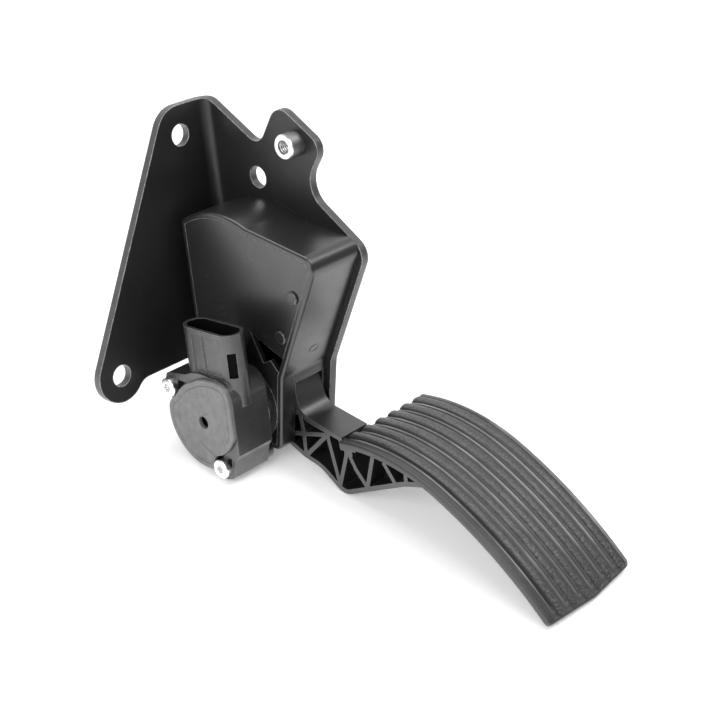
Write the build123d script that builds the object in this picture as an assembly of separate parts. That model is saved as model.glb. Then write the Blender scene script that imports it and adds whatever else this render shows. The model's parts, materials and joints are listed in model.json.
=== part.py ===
from build123d import *

import os
from math import acos, asin, atan2, copysign, cos, degrees, hypot, radians, sin, sqrt

# Accelerator pedal of the drive-by-wire kind: a folded sheet bracket carries a moulded housing,
# a position sensor and a ribbed plastic pedal arm with a rubber treadle pad.
#
# Frame: the origin is the centre of the upper firewall hole, on the face that meets the firewall.
# +X runs along the pivot from the sensor to the side flange, +Y from the treadle to the firewall,
# and +Z up. All sizes are in millimetres. Side profiles are drawn in Y and Z.

# Clearances
running_gap = 0.05
seat_gap = 0.05
moving_gap = 0.3

# Shared by several parts
edge_break = 0.4

# Sheet bracket
plate = 4.0
bend_inside = 5.0
side_flange_x = 18.2
firewall_foot_z = -110.4
firewall_hole_d = 10.5
upper_ear_r = 14.5
lower_ear_r = 13.5
lower_hole_x = -56.5
lower_hole_z = -104.1
ear_foot_round = 8.0
side_hole_y = -35.1
side_hole_z = -21.9
standoff_y = -62.9
standoff_z = -2.2

# Threaded standoff
standoff_d = 12.2
standoff_length = 8.0
standoff_thread_d = 6.8
standoff_shank_d = 9.0
standoff_chamfer = 0.6

# Pivot
pivot_y = -42.0
pivot_z = -125.5
shaft_d = 10.0
shaft_tang_d = 8.0
bush_wall = 1.6
ring_thickness = 1.0
ring_width = 3.2
ring_groove_depth = 0.5
ring_mouth_share = 0.7
washer_width = 4.0

# Housing
housing_depth = 31.2
housing_rear_y = -11.0
housing_drop = 22.5
housing_wall = 2.7
housing_rim_round = 1.3
side_plate_thickness = 2.5
slot_rise = 11.5
slot_floor_y = -30.0
slot_strip = 9.5
rivet_head_d = 6.5
rivet_head_height = 1.2
rivet_d = 4.0
rivet_reach = 9.0
rivet_post_wall = 1.8
rivet_web = 2.0
rivet_web_reach = 5.0
lid_window = [(-50.7, -87.5), (-57.2, -102.3), (-62.3, -99.8), (-70.7, -109.4), (-79.8, -101.5)]
rivet_places = [(-82.3, -64.5), (-71.7, -86.0)]
housing_screw_d = 5.0
housing_screw_head_d = 10.0
housing_screw_head_height = 3.0
housing_screw_depth = 11.0
screw_tip_gap = 0.5
screw_head_round = 0.9
housing_screw_places = [(-28.0, -52.0), (-80.0, -58.0), (-24.0, -92.0)]
spring_post_r = 3.0

# Position sensor, placed from the pivot
sensor_seat_height = 5.0
sensor_depth = 22.0
sensor_cover_thickness = 2.0
sensor_r = 24.4
sensor_flat_y = -20.3
sensor_top_z = 23.8
sensor_corner_r = 10.0
sensor_shoulder_y = 1.0
sensor_shoulder_z = -8.0
sensor_wall = 2.5
sensor_ledge = 2.0
sensor_floor = 4.0
sensor_seat_r = 20.5
sensor_lug_r = 6.0
sensor_screw_places = [(22.0, 13.4), (-8.9, -22.1)]
sensor_screw_d = 4.0
sensor_screw_head_d = 9.6
sensor_screw_head_height = 3.2
sensor_drive_r = 2.3
sensor_drive_depth = 1.8
lid_corners = [(17.4, 52.7), (19.8, 217.2)]
lid_line_inset = 3.0
lid_line_width = 0.8
lid_relief = 0.4
lid_field_round = 1.5
lug_pocket_depth = 4.0
sleeve_wall = 1.3
board_thickness = 1.5
board_depth = 5.0
rotor_r = 11.5
magnet_wall = 1.2
magnet_gap = 5.0
rotor_length = 9.0
rotor_hub_wall = 2.5
magnet_depth = 2.0
seal_r = 16.2
seal_width = 1.8
cover_hole_d = 5.0

# Connector socket on the sensor
socket_length = 35.0
socket_width = 14.0
socket_wall = 1.6
socket_rise = 22.3
socket_depth = 18.0
socket_offset_y = -3.5
socket_inset_x = 9.0
socket_relief = 0.5
socket_lip = 2.2
socket_foot_z = -100.5
socket_panels = [(-37.0, -43.3), (-44.2, -55.6)]
latch_width = 4.3
latch_skin = 0.6
latch_angle = 48.0
latch_low_z = -100.8
latch_high_z = -88.3
pin_count = 6
pin_pitch = 4.2
pin_size = 0.8
pin_reach = 8.0
pin_knee_rise = 12.7

# Pedal arm, with its outline placed from the pivot
arm_width = 18.0
arm_side_gap = 0.7
hub_r = 13.6
hub_sleeve_r = 8.5
shield_r = 25.2
shield_top_angle = 132.0
shield_foot_angle = 200.0
arm_flange = 2.5
arm_web = 2.5
arm_web_inset = 4.5
arm_rib = 2.2
heel_reach = 23.5
heel_height = 12.0
heel_end_gap = 0.5
shield_leave_angle = 171.0

# Treadle, with its upper curve placed from the pivot
tread_start_y = -52.5
tread_start_z = -11.0
tread_start_angle = -7.3
tread_upper_radius = 100.0
tread_upper_length = 62.0
tread_lower_radius = 219.0
tread_lower_length = 79.3
tread_width = 62.5
tread_overhang = 3.0
tread_thickness = 3.8
tread_skirt = 2.5
tread_edge_round = 1.2
tread_end_point = 2.2
tread_point_share = 0.53
carrier_thickness = 1.8
groove_count = 6
groove_pitch = 9.4
groove_first = 5.5
groove_width = 2.6
groove_depth = 0.9
groove_ridge = 0.6
groove_end_strip = 10.0
stiffener_height = 4.0
stiffener_thickness = 2.2
stiffener_start = 44.0
stiffener_inset = 14.0
gusset_drops = [(-57.5, 24.0), (-70.0, 19.0), (-82.5, 14.0)]
gusset_inset = 6.0
gusset_end_drop = 9.0

# Return springs and stops
outer_coil_r = 18.3
outer_wire_d = 2.2
outer_leg_reach = 35.0
outer_leg_angle = 157.2
outer_peg_angle = 172.0
inner_coil_r = 14.8
inner_wire_d = 2.0
inner_fixed_angle = 60.0
inner_peg_angle = 145.0
spring_turns = 2
spring_end_gap = 0.15
spring_bend = 1.5
spring_hole_gap = 0.35
peg_depth = 7.0
peg_lug_wall = 2.2
stop_pad_thickness = 2.5
stop_pad_length = 7.0
pedal_travel = 18.0

# Stations along X, worked out from the sizes above
side_flange_far_x = side_flange_x + plate
back_wall_x = side_flange_x - housing_wall
housing_front_x = side_flange_x - housing_depth
plate_inner_x = housing_front_x + side_plate_thickness
seat_face_x = housing_front_x - sensor_seat_height
sensor_face_x = seat_face_x - sensor_depth
arm_far_x = back_wall_x - arm_side_gap
arm_near_x = arm_far_x - arm_width
tread_near_x = arm_near_x - tread_overhang
tread_far_x = tread_near_x + tread_width
spring_far_x = arm_near_x - spring_end_gap
spring_near_x = plate_inner_x + spring_end_gap
bend_start_x = side_flange_x - bend_inside
bracket_top_z = upper_ear_r
housing_bottom_z = pivot_z - housing_drop
slot_top_z = pivot_z + slot_rise
socket_x = sensor_face_x + socket_inset_x
socket_y = pivot_y + socket_offset_y
socket_mouth_z = pivot_z + sensor_top_z + socket_rise
pivot = (pivot_y, pivot_z)
far = 400.0


def from_pivot(point):
    """Move a point that is measured from the pivot into the frame."""
    return (pivot_y + point[0], pivot_z + point[1])


def polar(radius, angle):
    """Return the point at a radius and an angle from +Y about the pivot."""
    return from_pivot((radius * cos(radians(angle)), radius * sin(radians(angle))))


def outline(corners):
    """Make a face from corners that each give two coordinates and a corner radius."""
    points = [(u, v) for u, v, _ in corners]
    radii = [radius for _, _, radius in corners]
    return make_face(FilletPolyline(*points, radius=radii, close=True))


def disc(radius, place=pivot):
    """Make a round face at a place in a side profile."""
    return Pos(place[0], place[1]) * Circle(radius)


def block(low, high):
    """Make a rectangular face between two corners of a side profile."""
    middle = ((low[0] + high[0]) / 2, (low[1] + high[1]) / 2)
    return Pos(*middle) * Rectangle(high[0] - low[0], high[1] - low[1])


def along_x(face, start, end):
    """Extrude a side profile from one X station to a higher one."""
    return extrude(Plane.YZ.offset(start) * face, end - start, dir=(1, 0, 0))


def along_y(face, start, end):
    """Extrude a profile drawn in X and Z from one Y station to a lower one."""
    return extrude(Plane.XZ.offset(-start) * face, start - end, dir=(0, -1, 0))


def rod(radius, start, end, place=pivot):
    """Make a round bar along X."""
    return along_x(disc(radius, place), start, end)


def bar(start, end, width=arm_rib, run_out=1.5):
    """Make a straight rib in a side profile that runs a little past both of its nodes."""
    length = hypot(end[0] - start[0], end[1] - start[1])
    angle = degrees(atan2(end[1] - start[1], end[0] - start[0]))
    middle = ((start[0] + end[0]) / 2, (start[1] + end[1]) / 2)
    return Pos(*middle) * Rot(0, 0, angle) * Rectangle(length + 2 * run_out, width)


# Bracket


def firewall_outline():
    """Outline of the firewall flange in X and Z: two ears joined by a straight edge."""
    reach = hypot(lower_hole_x, lower_hole_z)
    lean = degrees(atan2(lower_hole_z, lower_hole_x) - acos((upper_ear_r - lower_ear_r) / reach))
    lean += 360
    ear = (lower_hole_x, lower_hole_z)
    foot_round_z = firewall_foot_z - ear_foot_round
    drop = lower_hole_z - foot_round_z
    span = lower_ear_r + ear_foot_round
    foot_round_x = lower_hole_x + sqrt(span**2 - drop**2)
    turn = degrees(acos(drop / span))
    upper_arc = CenterArc((0, 0), upper_ear_r, 90, lean - 90)
    lower_arc = CenterArc(ear, lower_ear_r, lean, 270 + turn - lean)
    foot_arc = CenterArc((foot_round_x, foot_round_z), ear_foot_round, 90 + turn, -turn)
    edges = [upper_arc, Line(upper_arc @ 1, lower_arc @ 0), lower_arc, foot_arc]
    edges.append(Line(foot_arc @ 1, (bend_start_x, firewall_foot_z)))
    edges.append(Line((bend_start_x, firewall_foot_z), (bend_start_x, bracket_top_z)))
    edges.append(Line((bend_start_x, bracket_top_z), upper_arc @ 0))
    return make_face(edges)


def side_outline():
    """Outline of the side flange in Y and Z, with its tab for the standoff."""
    tab_y = standoff_y
    tab_z = standoff_z
    return outline(
        [
            (0, bracket_top_z, 0),
            (-5.5, bracket_top_z, 11),
            (side_hole_y - 2.9, side_hole_z + 15.4, 7),
            (tab_y + 10.1, tab_z + 18.2, 8),
            (tab_y - 17.0, tab_z - 0.3, 7.5),
            (tab_y - 2.2, tab_z - 21.1, 13),
            (-100.9, -49.9, 9),
            (*from_pivot((-29.3, 16.0)), 12),
            (-64.4, housing_bottom_z, 6),
            (-20.0, housing_bottom_z, 14),
            (-10.0, firewall_foot_z, 8),
            (0, firewall_foot_z, 0),
        ]
    )


def mounting_bracket():
    """Fold one plate into the firewall flange and the side flange, and pierce it."""
    fold = outline(
        [
            (-far, 0, 0),
            (side_flange_far_x, 0, bend_inside + plate),
            (side_flange_far_x, -far, 0),
            (side_flange_x, -far, 0),
            (side_flange_x, -plate, bend_inside),
            (-far, -plate, 0),
        ]
    )
    sheet = extrude(Plane.XY.offset(-far) * fold, 2 * far, dir=(0, 0, 1))
    firewall_field = along_y(firewall_outline(), plate, -2 * plate)
    side_field = along_x(side_outline(), bend_start_x, side_flange_far_x + plate)
    body = sheet & (firewall_field + side_field)
    hole = Circle(firewall_hole_d / 2)
    body -= along_y(hole, plate, -2 * plate)
    body -= along_y(Pos(lower_hole_x, lower_hole_z) * hole, plate, -2 * plate)
    side_holes = [(side_hole_y, side_hole_z, firewall_hole_d / 2)]
    side_holes.append((standoff_y, standoff_z, standoff_shank_d / 2 + seat_gap))
    side_holes.append((pivot_y, pivot_z, bush_r() + seat_gap))
    for y, z in housing_screw_places:
        side_holes.append((y, z, housing_screw_d / 2 + moving_gap))
    for y, z, radius in side_holes:
        body -= rod(radius, side_flange_x - plate, side_flange_far_x + plate, (y, z))
    return body


def threaded_standoff():
    """Turn the threaded sleeve that is swaged into the tab of the side flange."""
    place = (standoff_y, standoff_z)
    near = side_flange_x - standoff_length
    sleeve = rod(standoff_d / 2, near, side_flange_x, place)
    edge = sleeve.faces().sort_by(Axis.X)[0].edges()
    sleeve = chamfer(edge, standoff_chamfer)
    sleeve += rod(standoff_shank_d / 2, side_flange_x, side_flange_far_x, place)
    return sleeve - rod(standoff_thread_d / 2, near - 1, side_flange_far_x + 1, place)


# Housing


def housing_outline():
    """Side outline of the moulded housing, with its domed top."""
    return outline(
        [
            (housing_rear_y, -37.5, 2),
            (-33.4, -26.7, 46),
            (-54.8, -35.4, 12),
            (-100.2, -44.8, 7),
            (*from_pivot((-26.6, 17.3)), 8),
            (-62.0, housing_bottom_z, 4),
            (housing_rear_y, housing_bottom_z, 13),
        ]
    )


def inner_outline(gap=0.0):
    """Outline of the housing's inner space, less a clearance."""
    return offset(housing_outline(), -(housing_wall + gap), kind=Kind.INTERSECTION)


def heel_stop_face():
    """Place of the heel's upper face on its full-travel stop, as a point and an angle."""
    corner = (heel_reach - stop_pad_length / 2, heel_height / 2)
    turn = radians(pedal_travel + 0.5)
    y = corner[0] * cos(turn) - corner[1] * sin(turn)
    z = corner[0] * sin(turn) + corner[1] * cos(turn)
    return from_pivot((y, z)), degrees(turn)


def idle_stop_top_z():
    """Height of the idle pad's top, just under the heel at rest."""
    return pivot_z - heel_height / 2 - moving_gap


def housing_shell():
    """Mould the deep shell: back wall, perimeter wall, posts, stop carriers and arm slot."""
    shell = along_x(housing_outline(), housing_front_x, side_flange_x)
    rim = shell.faces().sort_by(Axis.X)[0].edges()
    shell = fillet(rim, housing_rim_round)
    shell -= along_x(inner_outline(), housing_front_x - 1, back_wall_x)
    keep = along_x(inner_outline(-housing_wall / 2), plate_inner_x, back_wall_x)
    for y, z in rivet_places:
        post_r = rivet_d / 2 + rivet_post_wall
        reach = post_r + rivet_web_reach
        post = disc(post_r, (y, z)) + bar((y, z), (y - reach, z - reach / 2), rivet_web, 0)
        shell += along_x(post, plate_inner_x + seat_gap, back_wall_x) & keep
        shell -= rod(rivet_d / 2, plate_inner_x - 1, plate_inner_x + rivet_reach + 1, (y, z))
    for place in housing_screw_places:
        shell += rod(housing_screw_d, back_wall_x - housing_screw_depth, back_wall_x, place)
        start = back_wall_x - housing_screw_depth + housing_wall
        shell -= rod(housing_screw_d / 2, start, side_flange_x + 1, place)
    shell += rod(spring_post_r, spring_near_x, back_wall_x, spring_post_place())
    shell += along_x(idle_carrier(), arm_near_x, back_wall_x)
    shell += along_x(full_carrier(), arm_near_x, back_wall_x)
    shell -= rod(bush_r() + seat_gap, back_wall_x - 1, side_flange_x + 1)
    slot_low = (-far, -far)
    slot_high = (slot_floor_y, slot_top_z)
    shell -= along_x(block(slot_low, slot_high), housing_front_x + slot_strip, back_wall_x)
    return shell


def idle_carrier():
    """Profile of the post on the housing's floor that holds the idle pad."""
    top = idle_stop_top_z() - stop_pad_thickness
    far_y = pivot_y + heel_reach - heel_end_gap
    return block((far_y - stop_pad_length, housing_bottom_z + housing_wall / 2), (far_y, top))


def full_carrier():
    """Profile of the shelf in the housing that holds the full-travel pad."""
    (y, z), angle = heel_stop_face()
    lift = stop_pad_thickness + stop_pad_thickness / 2
    shelf = Rectangle(stop_pad_length, stop_pad_thickness)
    return Pos(y, z) * Rot(0, 0, angle) * Pos(0, lift) * shelf


def spring_post_place():
    """Centre of the post that the outer spring's fixed leg bears on."""
    contact = outer_leg_point(outer_leg_reach - 2 * spring_post_r)
    away = outer_wire_d / 2 + spring_post_r + seat_gap
    normal = radians(outer_leg_angle)
    return (contact[0] + away * cos(normal), contact[1] + away * sin(normal))


def side_plate():
    """Mould the plate that closes the housing and carries the sensor."""
    window = Polygon(*lid_window, align=None)
    lower_screw = from_pivot(sensor_screw_places[1])
    field = inner_outline(seat_gap)
    body_face = field - window
    plate_body = along_x(body_face, housing_front_x, plate_inner_x)
    seat = disc(sensor_seat_r) + disc(sensor_lug_r, lower_screw)
    seat += disc(sensor_lug_r, from_pivot(sensor_screw_places[0]))
    seat += bar(pivot, lower_screw, 2 * sensor_lug_r, 0)
    seat += bar(pivot, from_pivot(sensor_screw_places[0]), 2 * sensor_lug_r, 0)
    plate_body += along_x(seat, seat_face_x, housing_front_x)
    plate_body -= rod(bush_r() + seat_gap, seat_face_x - 1, plate_inner_x + 1)
    for place in rivet_places:
        plate_body -= rod(rivet_d / 2, housing_front_x - 1, plate_inner_x + 1, place)
    for place in sensor_screw_places:
        thread = from_pivot(place)
        plate_body -= rod(sensor_screw_d / 2, seat_face_x - 1, housing_front_x, thread)
    peg_hole = inner_wire_d / 2 + spring_hole_gap
    hole_end = plate_inner_x - side_plate_thickness
    fixed = peg_place(inner_coil_r, inner_fixed_angle, -1)
    plate_body -= rod(peg_hole, hole_end, plate_inner_x + 1, fixed)
    return plate_body


def side_plate_rivets():
    """Two rivets that hold the side plate to the housing's posts."""
    rivets = []
    for place in rivet_places:
        head = rod(rivet_head_d / 2, housing_front_x - rivet_head_height, housing_front_x, place)
        head = chamfer(head.faces().sort_by(Axis.X)[0].edges(), edge_break)
        shank = rod(rivet_d / 2, housing_front_x, plate_inner_x + rivet_reach, place)
        rivets.append(head + shank)
    return Compound(rivets)


def housing_screws():
    """Three screws from behind the side flange into the housing's back wall."""
    screws = []
    for place in housing_screw_places:
        under_head = side_flange_far_x
        head_end = under_head + housing_screw_head_height
        head = rod(housing_screw_head_d / 2, under_head, head_end, place)
        head = fillet(head.faces().sort_by(Axis.X)[-1].edges(), screw_head_round)
        start = back_wall_x - housing_screw_depth + housing_wall + screw_tip_gap
        screws.append(head + rod(housing_screw_d / 2, start, under_head, place))
    return Compound(screws)


# Pivot


def bush_r():
    """Outer radius of both pivot bushes."""
    return shaft_d / 2 + running_gap + bush_wall


def bush(start, end):
    """Turn a plain bush for the pivot shaft."""
    return rod(bush_r(), start, end) - rod(shaft_d / 2 + running_gap, start - 1, end + 1)


def pivot_shaft():
    """Turn the shaft: it holds the arm, and its tang drives the sensor."""
    tang_start = seat_face_x - sensor_floor - rotor_length
    ring_x = side_flange_far_x + moving_gap
    shaft = rod(shaft_tang_d / 2, tang_start, seat_face_x)
    shaft += rod(shaft_d / 2, seat_face_x, ring_x + 2 * ring_thickness)
    groove = disc(shaft_d) - disc(shaft_d / 2 - ring_groove_depth)
    shaft -= along_x(groove, ring_x, ring_x + ring_thickness)
    ends = shaft.faces().sort_by(Axis.X)
    return chamfer(ends[0].edges() + ends[-1].edges(), edge_break)


def retaining_ring():
    """Cut the snap ring that sits in the shaft's groove behind the side flange."""
    ring_x = side_flange_far_x + moving_gap
    inner = shaft_d / 2 - ring_groove_depth
    ring = disc(inner + ring_width) - disc(inner)
    half = inner * ring_mouth_share
    mouth = block((pivot_y - half, pivot_z), (pivot_y + half, pivot_z + shaft_d * 2))
    return along_x(ring - mouth, ring_x, ring_x + ring_thickness)


def thrust_washer():
    """Cut the washer between the arm's hub and the housing's back wall."""
    face = disc(shaft_d / 2 + washer_width) - disc(shaft_d / 2)
    return along_x(face, arm_far_x, back_wall_x - moving_gap)


# Sensor


def sensor_outline(inset=0.0):
    """Outline of the sensor's round bowl with its squared upper corner, less an inset."""
    flat = sensor_flat_y + inset
    top = sensor_top_z - inset
    corner = sensor_corner_r - inset
    bowl = disc(sensor_r - inset) & block(from_pivot((flat, -far)), from_pivot((far, far)))
    low_y, low_z = from_pivot((flat, sensor_shoulder_z))
    high_y, high_z = from_pivot((sensor_shoulder_y, top))
    shoulder = outline(
        [(low_y, low_z, 0), (high_y, low_z, 0), (high_y, high_z, 0), (low_y, high_z, corner)]
    )
    face = bowl + shoulder
    if inset > 0:
        for place in sensor_screw_places:
            face -= disc(sleeve_r() + sensor_ledge / 2 + inset - sensor_wall, from_pivot(place))
    return face


def lid_outline(inset=0.0):
    """Outline of the sensor's lid, cut straight beside both screws, less an inset."""
    face = sensor_outline(inset)
    for reach, angle in lid_corners:
        turned = Pos(*polar(reach - inset, angle)) * Rot(0, 0, angle)
        face -= turned * Pos(far / 2, 0) * Rectangle(far, far)
    return face


def lug_pockets():
    """Outlines of the coring pockets between the lid and the two lugs."""
    upper = [(17.5, 17.8), (10.4, 17.6), (14.6, 13.0), (17.5, 11.4)]
    lower = [(-10.9, -16.9), (-14.6, -16.4), (-14.1, -21.0), (-12.9, -21.2)]
    upper_face = Polygon(*[from_pivot(place) for place in upper], align=None)
    return upper_face + Polygon(*[from_pivot(place) for place in lower], align=None)


def lid_fields():
    """Outlines of the two sunk fields on the sensor's lid."""
    upper = [(17.0, 3.5), (8.5, 10.0), (-6.0, 15.6), (-7.8, 13.5), (-4.5, 5.5), (8.5, 0.5)]
    lower = [(4.5, -10.5), (-12.8, -3.5), (-13.0, -11.0), (-6.5, -18.5), (-1.0, -19.5)]
    faces = [
        outline([(*from_pivot(place), lid_field_round) for place in corners])
        for corners in (upper, lower)
    ]
    return faces[0] + faces[1]


def sensor_lugs():
    """Outlines of the two screw lugs, as blocks that grow out of the bowl."""
    upper = [(0, 23.3, 0), (24.5, 20.0, 1.5), (28.0, 13.0, 4.0), (22.5, 6.5, 4.0), (0, 0, 0)]
    lower = [(sensor_flat_y, sensor_shoulder_z, 0), (-15.0, -26.9, 2.5), (-8.5, -28.8, 3.5)]
    lower += [(-2.5, -22.5, 2), (0, 0, 0)]
    faces = []
    for corners in (upper, lower):
        faces.append(outline([(*from_pivot((y, z)), r) for y, z, r in corners]))
    return faces[0] + faces[1]


def socket_slab(inset=0.0):
    """Rounded outline of the connector in X and Y, less an inset."""
    length = socket_length - 2 * inset
    width = socket_width - 2 * inset
    return Pos(socket_x, socket_y) * Rot(0, 0, 90) * SlotOverall(length, width)


def pin_ys():
    """Places of the connector pins along Y."""
    first = socket_y - pin_pitch * (pin_count - 1) / 2
    return [first + pin_pitch * number for number in range(pin_count)]


def sensor_body():
    """Mould the sensor's bowl with its lugs and its connector socket."""
    back = seat_face_x
    body = along_x(sensor_outline() + sensor_lugs(), sensor_face_x, back)
    foot_z = pivot_z + sensor_top_z - socket_width
    neck = Plane.XY.offset(foot_z) * socket_slab()
    body += extrude(neck, socket_mouth_z - foot_z, dir=(0, 0, 1))
    hollow = Plane.XY.offset(socket_mouth_z - socket_depth) * socket_slab(socket_wall)
    body -= extrude(hollow, socket_depth + 1, dir=(0, 0, 1))
    body -= socket_relief_cuts()
    ledge_x = sensor_face_x + board_depth
    body -= along_x(lid_outline(sensor_wall), sensor_face_x - 1, ledge_x)
    body -= along_x(lug_pockets(), sensor_face_x - 1, sensor_face_x + lug_pocket_depth)
    deep = sensor_outline(sensor_wall + sensor_ledge)
    body -= along_x(deep, ledge_x, back - sensor_floor)
    body -= rod(shaft_tang_d / 2 + moving_gap, back - sensor_floor - 1, back + 1)
    for place in sensor_screw_places:
        body -= rod(sleeve_r(), sensor_face_x - 1, back + 1, from_pivot(place))
    body -= along_x(disc(seal_r + seal_width) - disc(seal_r), back - seal_width, back + 1)
    for y in pin_ys():
        body -= pin_column(y, pivot_z + sensor_top_z - socket_width)
    return body


def socket_relief_cuts():
    """Shallow panels on the connector's face, and the latch window in its round end."""
    face_x = socket_x - socket_width / 2
    top_z = socket_mouth_z - socket_lip
    cuts = Part()
    for start, end in socket_panels:
        panel = Box(2 * socket_relief, start - end, top_z - socket_foot_z)
        cuts += Pos(face_x, (start + end) / 2, (top_z + socket_foot_z) / 2) * panel
    end_y = socket_y - (socket_length - socket_width) / 2
    latch = Box(socket_width, latch_width, latch_high_z - latch_low_z)
    latch = Pos(-socket_width / 2 - latch_floor_r(), 0, 0) * latch
    middle_z = (latch_low_z + latch_high_z) / 2
    return cuts + Pos(socket_x, end_y, middle_z) * Rot(0, 0, latch_angle) * latch


def latch_floor_r():
    """Reach of the latch window's floor from the axis of the connector's round end."""
    return socket_width / 2 - socket_wall + latch_skin


def pin_column(y, foot_z):
    """Upright part of one connector pin."""
    top_z = socket_mouth_z - socket_depth + pin_reach
    middle_z = (foot_z + top_z) / 2
    return Pos(socket_x, y, middle_z) * Box(pin_size, pin_size, top_z - foot_z)


def terminal_pins():
    """Six bent pins that run from the socket to the circuit board."""
    board_face_x = sensor_face_x + board_depth
    knee_z = pivot_z + pin_knee_rise
    pins = []
    for y in pin_ys():
        upright = pin_column(y, knee_z)
        run = socket_x + pin_size / 2 - board_face_x
        middle_x = board_face_x + run / 2
        tail = Pos(middle_x, y, knee_z) * Box(run, pin_size, pin_size)
        pins.append(upright + tail)
    return Compound(pins)


def sleeve_r():
    """Outer radius of the metal sleeves in the sensor's lugs."""
    return sensor_screw_d / 2 + seat_gap + sleeve_wall


def screw_sleeves():
    """Two metal sleeves that take the screws' clamping load."""
    face = Circle(sleeve_r()) - Circle(sensor_screw_d / 2 + seat_gap)
    sleeves = []
    for place in sensor_screw_places:
        centre = from_pivot(place)
        sleeves.append(along_x(Pos(*centre) * face, sensor_face_x, seat_face_x))
    return Compound(sleeves)


def star_face(centre):
    """Six-lobed outline of a screw's drive recess."""
    lobe_r = sensor_drive_r / 4
    face = disc(sensor_drive_r - lobe_r, centre)
    for number in range(6):
        turn = radians(60 * number)
        reach = sensor_drive_r - lobe_r
        face += disc(lobe_r, (centre[0] + reach * cos(turn), centre[1] + reach * sin(turn)))
    return face


def sensor_screws():
    """Two screws that hold the sensor to its seat on the side plate."""
    screws = []
    for place in sensor_screw_places:
        centre = from_pivot(place)
        head_x = sensor_face_x - sensor_screw_head_height
        head = rod(sensor_screw_head_d / 2, head_x, sensor_face_x, centre)
        head = fillet(head.faces().sort_by(Axis.X)[0].edges(), screw_head_round)
        recess = along_x(star_face(centre), head_x - 1, head_x + sensor_drive_depth)
        shank = rod(sensor_screw_d / 2, sensor_face_x, housing_front_x - screw_tip_gap, centre)
        screws.append(head - recess + shank)
    return Compound(screws)


def sensor_cover():
    """Mould the cover, notched round the screws, with the rim that holds the board down."""
    face = lid_outline()
    line = lid_outline(lid_line_inset) - lid_outline(lid_line_inset + lid_line_width)
    for place in sensor_screw_places:
        face -= disc(sensor_screw_head_d / 2 + moving_gap, from_pivot(place))
        line -= disc(sensor_screw_head_d / 2 + lid_line_inset / 2, from_pivot(place))
    cover = along_x(face, sensor_face_x - sensor_cover_thickness, sensor_face_x)
    cover = chamfer(cover.faces().sort_by(Axis.X)[0].outer_wire().edges(), edge_break)
    outer_x = sensor_face_x - sensor_cover_thickness
    cover -= along_x(line + lid_fields(), outer_x - 1, outer_x + lid_relief)
    rim = lid_outline(sensor_wall + seat_gap) - lid_outline(sensor_wall + sensor_ledge)
    rim_end = sensor_face_x + board_depth - board_thickness
    cover += along_x(rim, sensor_face_x, rim_end)
    return cover - rod(cover_hole_d / 2, sensor_face_x - far, sensor_face_x + 1)


def circuit_board():
    """Cut the circuit board that rests on the bowl's ledge."""
    start = sensor_face_x + board_depth - board_thickness
    return along_x(lid_outline(sensor_wall + seat_gap), start, start + board_thickness)


def sensor_rotor():
    """Mould the rotor on the shaft's tang, with pockets for its magnets."""
    start = seat_face_x - sensor_floor - rotor_length
    hub_end = start + rotor_length - moving_gap
    rotor = rod(rotor_r, start, start + rotor_length / 2)
    rotor += rod(shaft_tang_d / 2 + rotor_hub_wall, start, hub_end)
    rotor -= rod(shaft_tang_d / 2, start - 1, hub_end + 1)
    return rotor - along_x(magnet_face(), start - 1, start + magnet_depth)


def magnet_face():
    """Two opposite ring segments near the rotor's rim."""
    inner = shaft_tang_d / 2 + rotor_hub_wall
    ring = disc(rotor_r - magnet_wall) - disc(inner)
    gap = block(from_pivot((-rotor_r, -magnet_gap / 2)), from_pivot((rotor_r, magnet_gap / 2)))
    return ring - gap


def rotor_magnets():
    """Magnets in the rotor's pockets."""
    start = seat_face_x - sensor_floor - rotor_length
    return along_x(magnet_face(), start, start + magnet_depth)


def sensor_seal():
    """Ring that seals the sensor against its seat."""
    low = seal_r + seat_gap
    high = seal_r + seal_width - seat_gap
    return along_x(disc(high) - disc(low), seat_face_x - seal_width + seat_gap, seat_face_x)


# Treadle curve


def tread_arcs():
    """Centres, radii and angles of the two arcs that make the treadle's upper curve."""
    first = radians(tread_start_angle)
    second = first + tread_upper_length / tread_upper_radius
    third = second + tread_lower_length / tread_lower_radius
    start = from_pivot((tread_start_y, tread_start_z))
    upper = (
        start[0] + tread_upper_radius * sin(first),
        start[1] - tread_upper_radius * cos(first),
    )
    spread = tread_lower_radius - tread_upper_radius
    lower = (upper[0] + spread * sin(second), upper[1] - spread * cos(second))
    return [
        (upper, tread_upper_radius, first, second),
        (lower, tread_lower_radius, second, third),
    ]


def tread_point(distance, depth=0.0):
    """Point at a distance along the upper curve and a depth under it."""
    for centre, radius, start, end in tread_arcs():
        length = (end - start) * radius
        if distance <= length + 1e-9 or centre == tread_arcs()[-1][0]:
            angle = start + distance / radius
            reach = radius - depth
            return (centre[0] - reach * sin(angle), centre[1] + reach * cos(angle)), angle
        distance -= length


def tread_line(depth, start, end):
    """Edges that follow the upper curve at a depth, between two distances along it."""
    edges = []
    passed = 0.0
    for centre, radius, first, last in tread_arcs():
        length = (last - first) * radius
        low = max(start - passed, 0.0)
        high = min(end - passed, length)
        if high - low > 1e-6:
            turn = degrees((high - low) / radius)
            begin = 90 + degrees(first + low / radius)
            edges.append(CenterArc(centre, radius - depth, begin, turn))
        passed += length
    return edges


def tread_band(shallow, deep, start, end):
    """Face between two depths under the upper curve."""
    edges = tread_line(shallow, start, end) + tread_line(deep, start, end)
    for distance in (start, end):
        high, _ = tread_point(distance, shallow)
        low, _ = tread_point(distance, deep)
        edges.append(Line(high, low))
    return make_face(edges)


def tread_length():
    """Length of the treadle's upper curve."""
    return tread_upper_length + tread_lower_length


def tread_end_plane():
    """Plane on the treadle's lower end, square to the rubber, with its local Y up the slope."""
    (y, z), angle = tread_point(tread_length())
    return Plane(origin=(0, y, z), x_dir=(1, 0, 0), z_dir=(0, -sin(angle), cos(angle)))


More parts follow.
